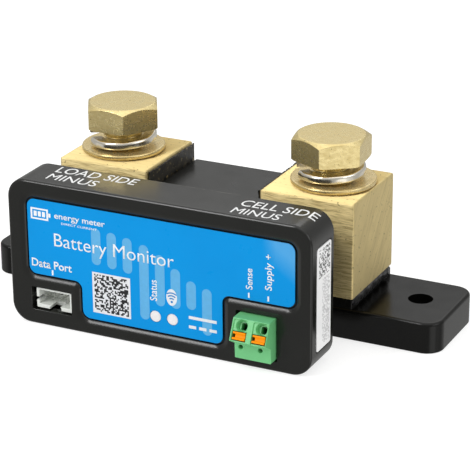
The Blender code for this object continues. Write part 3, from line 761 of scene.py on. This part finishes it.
def bead(name, side, seed):
    """Uneven sealant squeezed out under the end of a block."""
    rng = random.Random(seed)
    rings, steps, sides = [], 60, 12
    phase = [rng.uniform(0, 6.28) for _ in range(6)]
    for k in range(steps + 1):
        t = k / steps
        d = 23.95 + t * 22.0
        swell = 1 + 0.16 * math.sin(9 * t + phase[0]) + 0.12 * math.sin(23 * t + phase[1]) + 0.08 * math.sin(51 * t + phase[2])
        close = min(1.0, math.sqrt(max(0.0, t * 16)), math.sqrt(max(0.0, (1 - t) * 16)))
        close = max(close, 0.12)
        ring = []
        for j in range(sides):
            a = 2 * math.pi * j / sides
            lump = 1 + 0.10 * math.sin(3 * a + 31 * t + phase[3])
            ring.append(
                (
                    side * (38.1 + 0.72 * swell * close * lump * math.cos(a)),
                    d,
                    9.85 + 1.50 * close * (0.9 + 0.1 * swell) * lump * math.sin(a),
                )
            )
        rings.append(ring)
    return loft(name, rings)


for name, side in SIDES:
    piece(bead(f"sealant_bead_{name}", side, 5 + side), "root", SEALANT, degrees=70)


# ================================================================ bolts and washers
def ring_section(r0, r1, z0, z1, edge, steps=3):
    return outline(box_outline((r0, r1), (z0, z1)), edge, 0.0, steps)


def threaded(name, at, top, tip, r_crest=4.93, r_root=4.15, pitch=1.5, sides=48):
    """The bolt's shank with its real screw thread, as one helical surface."""
    rings = []
    rows = int((top - tip) / 0.15)
    for k in range(rows + 1):
        z = tip + (top - tip) * k / rows
        ring = []
        for j in range(sides):
            a = 2 * math.pi * j / sides
            t = ((z - tip) / pitch - j / sides) % 1.0
            tri = abs(2 * t - 1)
            wave = min(1.0, max(0.0, (tri - 0.12) / 0.72))
            r = r_root + (r_crest - r_root) * wave
            r = min(r, r_crest - max(0.0, 1.0 - (z - tip)) * 0.9)
            ring.append((at[0] + r * math.cos(a), at[1] + r * math.sin(a), z))
        rings.append(ring)
    return loft(name, rings)


for i, (name, side) in enumerate(SIDES):
    axis = (side * BOLT_X, 33.5)
    _, _, (tip, top) = limits(f"bolt_{name}")
    under = top - 6.05
    across = 17.0
    corner = across / math.sqrt(3)
    head = turned(
        f"bolt_head_{name}",
        [
            (0, top), (3.0, top), (6.0, top), (across * 0.475, top),
            (corner + 0.05, top - 1.05), (corner + 0.05, under + 0.3), (corner - 0.5, under),
            (3.0, under), (0, under),
        ],
        axis, 144,
    )
    turn = math.radians((29.0, 6.0)[i] + 30)     # a corner stands that far past +Y
    hexagon = []
    for zz in (under - 3, top + 3):
        hexagon.append(
            [
                (axis[0] + corner * math.cos(turn + math.pi / 3 * k), axis[1] + corner * math.sin(turn + math.pi / 3 * k), zz)
                for k in range(6)
            ]
        )
    carve(head, loft("hexagon", hexagon), operation="INTERSECT")
    bevelled(head, 0.24, 3, 24)
    piece(head, f"bolt_{name}", BRASS_BOLT, [f"bolt_{name}"], degrees=42)
    shank = threaded(f"bolt_thread_{name}", axis, under + 0.25, tip)
    piece(shank, f"bolt_{name}", BRASS_BOLT, degrees=60)

    x, d, z = limits(f"flat_washer_{name}")
    flat = turned(
        f"washer_flat_{name}", ring_section(5.6, (x[1] - x[0]) / 2, z[0], z[1], 0.32),
        (sum(x) / 2, sum(d) / 2), 128, looped=True,
    )
    piece(flat, f"washers_{name}", BRASS_WASHER, [f"flat_washer_{name}"])

    low = z[1] + 0.3
    rings = []
    start, sweep, steps = math.radians((220, 222)[i]), math.radians(346), 128
    rise = (2.4, 2.1)[i]
    for k in range(steps + 1):
        t = k / steps
        a = start + sweep * t
        rings.append(
            [
                (axis[0] + r * math.cos(a), axis[1] + r * math.sin(a), low + zz + rise * t)
                for r, zz in ring_section(5.3, 8.3, 0.0, 2.0, (0.3, 0.35, 0.75, 0.35), 5)
            ]
        )
    spring = loft(f"washer_spring_{name}", rings)
    piece(spring, f"washers_{name}", NICKEL, [f"lock_washer_{name}"])

# ================================================================ measuring box
BX, BD, BZ = (-41.8, 38.2), (0.0, 12.5), (0.0, 37.2)
LABEL = [
    (-36.7, 13.1), (-22.2, 13.1), (-22.2, 4.0), (15.3, 4.0),
    (15.3, 16.7), (33.8, 16.7), (33.8, 32.4), (-36.7, 32.4),
]
shell = extruded(
    "box_shell", box_outline(BX, BZ), 5.0, rolled(BD[0], BD[1], 0.75, 0.25, 6), "Y", 12
)
recess = [
    (-1.0, 1.86), (0.0, 1.86), (0.03, 1.70), (0.10, 1.45), (0.22, 1.15), (0.37, 0.86),
    (0.54, 0.62), (0.74, 0.44), (0.95, 0.34), (1.1, 0.32),
]
port_x, port_z = (-36.1, -25.05), (3.85, 9.75)
term_x, term_z = (19.05, 29.55), (2.6, 13.85)
cuts = [
    extruded("hollow", box_outline((BX[0] + 1.8, BX[1] - 1.8), (BZ[0] + 1.8, BZ[1] - 1.8)), 3.2, [(2.4, 0), (15, 0)], "Y", 8),
    extruded("recess", LABEL, 2.0, recess, "Y", 10),
    extruded("port_window", box_outline(port_x, port_z), 0.4, flared(0, 4, 0.16), "Y", 4),
    extruded("term_window", box_outline(term_x, term_z), 0.3, flared(0, 4, 0.16), "Y", 4),
    extruded("side_pocket", box_outline((2.7, 11.1), (5.1, 31.3)), 0.8, [(37.7, 0), (40, 0)], "X", 5),
]
for x in (-2.4, 2.1):
    cuts.append(rod("light", 1.6, (x, 7.9), [(0.5, 0), (4, 0)], "Y", 32))
carve(shell, *cuts)
piece(shell, "root", SHELL, ["front_cover"], degrees=28)

film = extruded("label_film", LABEL, 2.0, [(0.8, 0), (0.64, 0), (0.6, -0.04)], "Y", 10)
carve(film, *[rod("light", 1.5, (x, 7.9), [(-1, 0), (4, 0)], "Y", 40) for x in (-2.4, 2.1)])
piece(film, "root", BLUE, ["front_label"])

x, d, z = limits("side_label")
side = extruded(
    "side_label_film", box_outline(d, z), 0.7,
    [(x[0], 0), (x[1] - 0.03, 0), (x[1], -0.03)], "X", 5,
)
piece(side, "root", SIDE_FILM, ["side_label"])

for name, x in (("error", -2.4), ("radio", 2.1)):
    pipe = rod(
        f"status_lens_{name}", 1.42, (x, 7.9),
        [(0.62, -0.10), (0.66, -0.03), (0.74, 0), (2.7, 0), (2.75, 0.45), (3.75, 0.45), (3.8, -0.3), (6.1, -0.3)],
        "Y", 40,
    )
    piece(pipe, "root", LENS, [f"light_pipe_{name}"])
    x, d, z = limits(f"status_led_{name}")
    piece(block(f"led_{name}", x, d, z, 0.12, "Y"), "root", LED, [f"status_led_{name}"])

x, d, z = (-39.7, 36.1), (10.6, 12.5), (2.1, 35.1)
rear = extruded("rear_case", box_outline(x, z), 2.9, rolled(d[0], d[1], 0.1, 0.3, 3), "Y", 8)
neck = extruded("neck", box_outline((-33, 33), (12.2, 32.6)), 2.0, rolled(11.0, 20.85, 0.1, 0.3, 3), "Y", 6)
carve(rear, neck, operation="UNION")
carve(rear, extruded("neck_hollow", box_outline((-31, 31), (14.2, 30.6)), 1.2, [(5, 0), (25, 0)], "Y", 4))
piece(rear, "root", HOUSING, ["rear_housing"])


# ================================================================ prints
PRINT = 0.015     # thickness of one layer of ink
CHART, WORDS, UPPER = 0.61, 0.594, 0.578     # where the three layers of ink start


def words(name, body, box, plane, bold=0.0, upright=True, cap="H", size_by="width"):
    """Words as a thin solid.  plane is "face" (on the label), "up" (on the label, read
    upwards) or "top" (on the roof of the box).  box is the place of the capitals."""
    curve = bpy.data.curves.new(name, "FONT")
    curve.body = body
    curve.size = 1.0
    curve.extrude = 0.0
    curve.offset = bold
    curve.resolution_u = 4
    text = bpy.data.objects.new(name, curve)
    bpy.context.scene.collection.objects.link(text)
    bpy.context.view_layer.update()
    graph = bpy.context.evaluated_depsgraph_get()
    flat = bpy.data.meshes.new_from_object(text.evaluated_get(graph))
    bpy.data.objects.remove(text, do_unlink=True)
    u0 = min(v.co.x for v in flat.vertices)
    u1 = max(v.co.x for v in flat.vertices)
    top = 0.729 + bold     # height of a capital in the built-in font
    (a0, a1), (b0, b1) = box
    bm = bmesh.new()
    bm.from_mesh(flat)
    bpy.data.meshes.remove(flat)
    bmesh.ops.remove_doubles(bm, verts=bm.verts, dist=1e-5)
    if plane == "top":
        # cut across every third of a millimetre where the roof is round
        x = BX[1] - 5.0
        while x < a1:
            if x > a0:
                bmesh.ops.bisect_plane(
                    bm, geom=bm.verts[:] + bm.edges[:] + bm.faces[:], dist=1e-6,
                    plane_co=(u0 + (x - a0) / (a1 - a0) * (u1 - u0), 0, 0), plane_no=(1, 0, 0),
                )
            x += 0.33
    for v in bm.verts:
        s, t = (v.co.x - u0) / (u1 - u0), (v.co.y + bold) / (top + bold)
        if plane == "face":
            v.co = pt(a0 + (a1 - a0) * s, WORDS, b0 + (b1 - b0) * t)
        elif plane == "up":
            v.co = pt(a1 - (a1 - a0) * t, WORDS, b0 + (b1 - b0) * s)
        else:
            x = a0 + (a1 - a0) * s
            # the roof falls away round the corner of the box
            over = min(4.9, max(0.0, x - (BX[1] - 5.0)))
            v.co = pt(x, b0 + (b1 - b0) * t, BZ[1] - 5.0 + math.sqrt(25 - over * over) - 0.03)
    lift = Vector((0, 0, 1)) if plane == "top" else Vector((0, -1, 0))
    made = bmesh.ops.extrude_face_region(bm, geom=bm.faces[:])
    for v in made["geom"]:
        if isinstance(v, bmesh.types.BMVert):
            v.co += lift * (0.06 if plane == "top" else PRINT + 0.01) * MM
    bmesh.ops.recalc_face_normals(bm, faces=bm.faces)
    return object_of(name, bm)


def plate(name, points, radii=0.0, level=WORDS, thick=PRINT, steps=6):
    """A flat printed shape on the label, from an (x, z) outline."""
    return extruded(name, points, radii, [(level, 0), (level - thick - 0.01, 0)], "Y", steps)


def bar(x, z, level=WORDS, radius=0.0):
    return plate("bar", box_outline(x, z), radius, level)


def arc(centre, r0, r1, a0, a1, level, steps=16):
    points = [
        (centre[0] + r1 * math.cos(math.radians(a0 + (a1 - a0) * k / steps)), centre[1] + r1 * math.sin(math.radians(a0 + (a1 - a0) * k / steps)))
        for k in range(steps + 1)
    ]
    points += [
        (centre[0] + r0 * math.cos(math.radians(a1 + (a0 - a1) * k / steps)), centre[1] + r0 * math.sin(math.radians(a1 + (a0 - a1) * k / steps)))
        for k in range(steps + 1)
    ]
    return plate("arc", points, 0.0, level)


# a pale bar chart behind the words
chart = []
for x, z0, z1 in (
    (-18.0, 18.3, 27.6), (-13.8, 18.0, 27.2), (-9.6, 17.6, 26.6), (-5.2, 6.6, 25.6),
    (-1.0, 10.8, 23.8), (3.1, 10.9, 21.0), (7.2, 11.4, 18.6), (11.3, 5.6, 17.4),
):
    chart.append(bar((x - 1.25, x + 1.25), (z0, z1), CHART, 1.24))
piece(joined("label_pale_chart", chart), "root", PALE_INK, flat=True)

marks = [
    words("w1", "energy meter", ((-29.2, -15.4), (28.35, 29.95)), "face", 0.012),
    words("w2", "DIRECT CURRENT", ((-27.3, -17.6), (27.05, 27.6)), "face", 0.0),
    words("w3", "Battery Monitor", ((-29.5, 2.8), (21.2, 24.7)), "face", -0.004),
    words("w4", "Data Port", ((-36.0, -24.9), (15.05, 17.25)), "face", 0.016),
    words("w5", "Status", ((-3.85, -1.85), (11.9, 17.2)), "up", 0.010),
    words("w6", "Sense", ((21.3, 23.1), (19.4, 24.6)), "up", 0.010),
    words("w7", "Supply +", ((26.2, 28.0), (20.0, 28.9)), "up", 0.010),
    bar((-30.5, -30.05), (13.45, 14.75)),
    bar((21.95, 22.35), (17.25, 18.5)),
    bar((26.9, 27.3), (17.25, 18.5)),
    # battery sign
    bar((-35.7, -30.9), (29.85, 30.25)), bar((-35.7, -30.9), (27.35, 27.75)),
    bar((-35.7, -35.25), (27.75, 29.85)), bar((-31.35, -30.9), (27.75, 29.85)),
    bar((-30.8, -30.25), (28.3, 29.3)),
    bar((-34.85, -34.05), (28.15, 29.45)), bar((-33.7, -32.9), (28.15, 29.45)), bar((-32.55, -31.75), (28.15, 29.45)),
]
piece(joined("label_words", marks), "root", WHITE_INK, flat=True)

signs = [
    # direct-current sign: a line over dashes
    bar((6.5, 13.8), (9.0, 9.75)),
    bar((6.5, 8.4), (6.6, 7.35)), bar((9.2, 11.1), (6.6, 7.35)), bar((11.9, 13.8), (6.6, 7.35)),
    # oval behind the wireless sign
    plate("oval", [(2.05 + 1.42 * math.cos(math.radians(a)), 13.6 + 2.12 * math.sin(math.radians(a))) for a in range(0, 360, 8)]),
    # ground of the cell patch
    bar((-19.3, -9.0), (5.9, 16.4)),
]
piece(joined("label_signs", signs), "root", MARK_INK, flat=True)

waves = [
    arc((2.05, 12.45), 0.0, 0.30, 0, 359, UPPER, 20),
    arc((2.05, 12.45), 0.70, 1.02, 50, 130, UPPER),
    arc((2.05, 12.45), 1.42, 1.74, 52, 128, UPPER),
    arc((2.05, 12.45), 2.12, 2.44, 56, 124, UPPER),
]
piece(joined("label_wireless_sign", waves), "root", BLUE_INK, flat=True)

# random cells, with none of the marks that would make a code of them
rng = random.Random(20)
cells, count = [], 25
x0, z0, pitch = -18.75, 6.35, 9.2 / 25
pitch_z = 9.6 / 25
for row in range(count):
    run = None
    for col in range(count + 1):
        dark = col < count and rng.random() < 0.5
        if dark and run is None:
            run = col
        if not dark and run is not None:
            cells.append(
                bar(
                    (x0 + run * pitch, x0 + col * pitch),
                    (z0 + row * pitch_z + 0.004, z0 + (row + 1) * pitch_z - 0.004), UPPER,
                )
            )
            run = None
piece(joined("label_cell_patch", cells), "root", BLACK_INK, flat=True)

roof = [
    words("t1", "LOAD SIDE", ((-32.9, -11.4), (7.7, 11.6)), "top", 0.0),
    words("t2", "MINUS", ((-32.7, -19.4), (2.9, 6.6)), "top", 0.0),
    words("t3", "CELL SIDE", ((16.9, 36.0), (6.4, 10.3)), "top", 0.0),
    words("t4", "MINUS", ((16.9, 28.9), (1.6, 5.1)), "top", 0.0),
]
piece(joined("roof_words", roof), "root", WHITE_INK, flat=True)

# ================================================================ data port
x, d, z = limits("data_port_socket")
socket = extruded("port_shroud", box_outline(x, z), 0.25, rolled(d[0], d[1], 0.14, 0.1, 3), "Y", 4)
carve(
    socket,
    extruded("cavity", box_outline((x[0] + 0.75, x[1] - 0.55), (z[0] + 1.0, z[1] - 0.5)), 0.3, flared(d[0], 5.8, 0.12), "Y", 4),
    extruded("notch_side", box_outline((x[0] - 1, x[0] + 1.2), (6.15, 6.95)), 0.35, flared(d[0], 3.8, 0.12), "Y", 5),
    extruded(
        "notch_low",
        [(-31.6, z[0] - 1), (-28.4, z[0] - 1), (-28.4, z[0] + 0.6), (-29.1, z[0] + 1.7), (-30.6, z[0] + 1.7), (-31.6, z[0] + 0.5)],
        0.25, flared(d[0], 3.9, 0.12), "Y", 4,
    ),
)
carve(
    socket,
    *[
        block("hole", (x[0] + 4.9 + (k - 1.5) * 2.0 - 0.55, x[0] + 4.9 + (k - 1.5) * 2.0 + 0.55), (3, 9), (6.05, 7.15), 0.0)
        for k in range(4)
    ],
)
piece(socket, "root", PORT, ["data_port_socket"])
for k in range(1, 5):
    x, d, z = limits(f"data_port_pin_{k}")
    pin = extruded(
        f"port_pin_{k}", box_outline(x, z), 0.05,
        [(d[0], -0.14), (d[0] + 0.3, 0), (d[1] - 0.3, 0), (d[1], -0.14)], "Y", 2,
    )
    piece(pin, "root", TIN, [f"data_port_pin_{k}"])

# ================================================================ wire terminal
TX = (19.95, 29.2)
POLES = (("aux", 22.08), ("vbatt", 27.08))
(top_d, top_z), (low_d, low_z) = (-3.2, 13.5), (-5.55, 8.55)
slope = math.atan2(top_d - low_d, top_z - low_z)


def nose(x, along, deep):
    """A point given along the sloping nose (from its top edge down) and into it."""
    return (
        x,
        top_d - along * math.sin(slope) + deep * math.cos(slope),
        top_z - along * math.cos(slope) - deep * math.sin(slope),
    )


def into_nose(name, points, radii, stations, steps=4):
    """A cutter or solid with an (x, along) outline, driven into the nose."""
    rings = []
    for deep, grow in stations:
        rings.append([nose(u, v, deep) for u, v in outline(points, radii, grow, steps)])
    return loft(name, rings)


def circle(cx, cy, r, count=32):
    return [(cx + r * math.cos(2 * math.pi * k / count), cy + r * math.sin(2 * math.pi * k / count)) for k in range(count)]


terminal = extruded(
    "terminal_body",
    [(7.3, 3.0), (7.3, top_z), (top_d, top_z), (low_d, low_z), (-2.65, 6.8), (-2.5, 3.0)],
    [0.1, 0.1, 0.18, 0.16, 0.1, 0.2], rolled(TX[0], TX[1], 0.16, 0.22, 3), "X", 4,
)
cuts = []
for k, (pole, x) in enumerate(POLES):
    cuts.append(block("chamber", (x - 1.9, x + 1.9), (-1.2, 9), (4.3, 12.0), 0.0))
    # shallow channel of the pole between the raised ribs
    cuts.append(
        into_nose("channel", box_outline((x - 1.72, x + 1.78), (0.28, 5.75)), 0.35, [(-1, 0.12), (0, 0.12), (0.14, 0.02), (0.32, 0)])
    )
    cuts.append(
        loft("funnel", [
            [nose(u, v, deep) for u, v in circle(x + 0.3, 1.62, r)]
            for deep, r in ((-1, 1.60), (0.25, 1.55), (0.45, 1.42), (1.3, 1.12), (1.5, 1.10))
        ])
    )
    cuts.append(into_nose("wire_way", box_outline((x - 0.25, x + 1.35), (0.85, 2.6)), 0.3, [(0.6, 0), (5.5, 0)]))
    cuts.append(into_nose("lever_slot", box_outline((x - 1.75, x + 1.95), (2.95, 5.22)), 0.15, [(-1, 0), (5.5, 0)]))
    cuts.append(rod("test", 0.58, (x - 0.55, 6.0), [(-4, 0.06), (-2.62, 0.06), (-2.5, 0), (1, 0)], "Y", 24))
carve(terminal, *cuts)
piece(terminal, "root", GREEN, ["terminal_housing"])

for pole, x in POLES:
    # a key with two level ridges and a groove, notched at its left end
    left, right = x + 0.1 - 1.6, x + 0.1 + 1.6
    profile = [
        (3.12, 3.2), (3.12, 0.05), (3.22, -0.10), (3.46, -0.12), (3.72, 0.16), (3.95, 0.22),
        (4.40, 0.20), (4.55, -0.08), (4.66, -0.16), (4.90, -0.14), (4.99, 0.0), (4.99, 3.2),
    ]
    rings = []
    for at, grow in rolled(left, right, 0.1, 0.1, 2):
        rings.append([nose(at, a, b) for a, b in outline(profile, 0.03, grow, 2)])
    key = loft(f"lever_key_{pole}", rings)
    notch = into_nose("notch", box_outline((left - 0.5, left + 0.62), (3.66, 4.42)), 0.12, [(-1, 0.1), (0.1, 0.05), (1.5, 0)], 3)
    carve(key, notch)
    piece(key, f"lever_{pole}", ORANGE, [f"lever_{pole}"])

# ================================================================ nodes shown as packed
KEPT = {
    "circuit_board": BOARD, "radio_controller": CHIP, "radio_antenna": CERAMIC,
    "clock_crystal": STEEL, "power_inductor": CHIP, "sense_amplifier": CHIP,
    "memory_chip": CHIP, "filter_capacitor": STEEL,
    "sense_spacer_system": BRASS_WASHER, "sense_spacer_battery": BRASS_WASHER,
    "sense_screw_system": STEEL, "sense_screw_battery": STEEL,
    "clamp_spring_aux": STEEL, "clamp_spring_vbatt": STEEL,
    "contact_bar_aux": TIN, "contact_bar_vbatt": TIN,
}
for name, node in NODES.items():
    if node.hide_render:
        continue
    material = KEPT.get(name, HOUSING)
    node.data.materials.clear()
    node.data.materials.append(material)

# ================================================================ stage
floor_bm = bmesh.new()
bmesh.ops.create_grid(floor_bm, x_segments=1, y_segments=1, size=6.0)
floor = object_of("studio_floor", floor_bm)
floor.location.z = -0.00005
fm = Mat("studio_floor", (0.42, 0.42, 0.42), 0.9, 0.0, 0.0)
fm.set("Base Color", fm.mix(fm.noise(3.0, 2, 0.5), (0.415, 0.415, 0.415), (0.425, 0.425, 0.425)))
fm.shader.inputs["Emission Color"].default_value = (1, 1, 1, 1)
fm.shader.inputs["Emission Strength"].default_value = 0.73
floor.data.materials.append(fm.mat)
floor.visible_glossy = False

scene = bpy.context.scene
scene.view_settings.view_transform = "Standard"
scene.view_settings.look = "None"
scene.view_settings.exposure = 0.0
scene.view_settings.gamma = 1.0

world = bpy.data.worlds.new("studio")
scene.world = world
world.use_nodes = True
wt = world.node_tree
wt.nodes.clear()
out = wt.nodes.new("ShaderNodeOutputWorld")
sky = wt.nodes.new("ShaderNodeBackground")
white = wt.nodes.new("ShaderNodeBackground")
white.inputs[0].default_value = (1, 1, 1, 1)
white.inputs[1].default_value = 1.05
mixer = wt.nodes.new("ShaderNodeMixShader")
path = wt.nodes.new("ShaderNodeLightPath")
where = wt.nodes.new("ShaderNodeTexCoord")
split = wt.nodes.new("ShaderNodeSeparateXYZ")
wt.links.new(where.outputs["Generated"], split.inputs[0])


def of_sky(operation, a, b=0.0, clamp=False):
    made = wt.nodes.new("ShaderNodeMath")
    made.operation = operation
    made.use_clamp = clamp
    for index, value in ((0, a), (1, b)):
        if isinstance(value, bpy.types.NodeSocket):
            wt.links.new(value, made.inputs[index])
        else:
            made.inputs[index].default_value = value
    return made.outputs[0]


def glow(azimuth, elevation, inner, outer, amount):
    """A soft-edged bright patch of sky in one direction, with angles in degrees from +X."""
    a, e = math.radians(azimuth), math.radians(elevation)
    dot = wt.nodes.new("ShaderNodeVectorMath")
    dot.operation = "DOT_PRODUCT"
    wt.links.new(where.outputs["Generated"], dot.inputs[0])
    dot.inputs[1].default_value = (math.cos(a) * math.cos(e), math.sin(a) * math.cos(e), math.sin(e))
    soft = wt.nodes.new("ShaderNodeMapRange")
    soft.interpolation_type = "SMOOTHSTEP"
    wt.links.new(dot.outputs["Value"], soft.inputs["Value"])
    soft.inputs["From Min"].default_value = math.cos(math.radians(outer))
    soft.inputs["From Max"].default_value = math.cos(math.radians(inner))
    return of_sky("MULTIPLY", soft.outputs[0], amount)


# brighter towards the top and towards the back, darkest low in front
grade = wt.nodes.new("ShaderNodeValToRGB")
stops = grade.color_ramp
stops.elements[0].position = 0.0
stops.elements[0].color = (0.40, 0.40, 0.40, 1)
stops.elements[1].position = 1.0
stops.elements[1].color = (1.5, 1.5, 1.5, 1)
for at, v in ((0.32, 0.43), (0.50, 0.44), (0.70, 0.43), (0.86, 0.80), (0.93, 1.15)):
    e = stops.elements.new(at)
    e.color = (v, v, v, 1)
up = wt.nodes.new("ShaderNodeMapRange")
up.inputs["From Min"].default_value = -1
up.inputs["From Max"].default_value = 1
wt.links.new(split.outputs[2], up.inputs["Value"])
wt.links.new(up.outputs[0], grade.inputs[0])
level = of_sky("ADD", grade.outputs[0], of_sky("MULTIPLY", split.outputs[1], 0.03))
for patch in (
    (-32, -22, 8, 22, 0.85), (64, -22, 10, 30, 0.16), (-4, -22, 6, 20, 0.25), (-154, -22, 8, 24, 0.25),
):
    level = of_sky("ADD", level, glow(*patch))
tone = wt.nodes.new("ShaderNodeCombineColor")
wt.links.new(level, tone.inputs[0])
wt.links.new(level, tone.inputs[1])
wt.links.new(of_sky("MULTIPLY", level, 0.985), tone.inputs[2])
wt.links.new(tone.outputs[0], sky.inputs[0])
sky.inputs[1].default_value = 1.0
wt.links.new(path.outputs["Is Camera Ray"], mixer.inputs[0])
wt.links.new(sky.outputs[0], mixer.inputs[1])
wt.links.new(white.outputs[0], mixer.inputs[2])
wt.links.new(mixer.outputs[0], out.inputs[0])


def area(name, towards, distance, size, radiance, aim=(0, 0, 0.02)):
    """A soft box in the direction given, at a distance, with a set radiance."""
    light = bpy.data.lights.new(name, "AREA")
    light.shape = "RECTANGLE"
    light.size, light.size_y = size
    light.energy = radiance * math.pi * size[0] * size[1]
    obj = bpy.data.objects.new(name, light)
    scene.collection.objects.link(obj)
    way = Vector(towards).normalized()
    obj.location = Vector(aim) + way * distance
    obj.rotation_mode = "QUATERNION"
    obj.rotation_quaternion = way.to_track_quat("Z", "Y")
    return obj


area("key_box", (-0.41, -0.66, 0.62), 0.9, (0.20, 0.56), 9.5)
area("side_box", (0.88, -0.10, 0.46), 0.9, (0.6, 0.4), 1.6)
area("back_box", (-0.35, 0.75, 0.62), 1.0, (0.7, 0.35), 1.1)

# ================================================================ camera
az, el, roll = math.radians(26.25), math.radians(21.87), math.radians(-0.43)
fw = Vector((-math.sin(az) * math.cos(el), math.cos(az) * math.cos(el), -math.sin(el)))
right = fw.cross(Vector((0, 0, 1))).normalized()
upward = right.cross(fw)
r2 = right * math.cos(roll) + upward * math.sin(roll)
u2 = -right * math.sin(roll) + upward * math.cos(roll)
cam = bpy.data.cameras.new("camera")
cam.sensor_width = 36.0
cam.lens = 162.73
cam.shift_x, cam.shift_y = 0.00132, 0.00036
cam.clip_start, cam.clip_end = 0.01, 20.0
camera = bpy.data.objects.new("camera", cam)
scene.collection.objects.link(camera)
turn = Matrix((r2, u2, -fw)).transposed().to_4x4()
camera.matrix_world = Matrix.Translation((0.2175 + MIDDLE_X * MM, -0.4028 + FACE_Y, 0.2127)) @ turn
scene.camera = camera

# ================================================================ final update
bpy.context.view_layer.update()
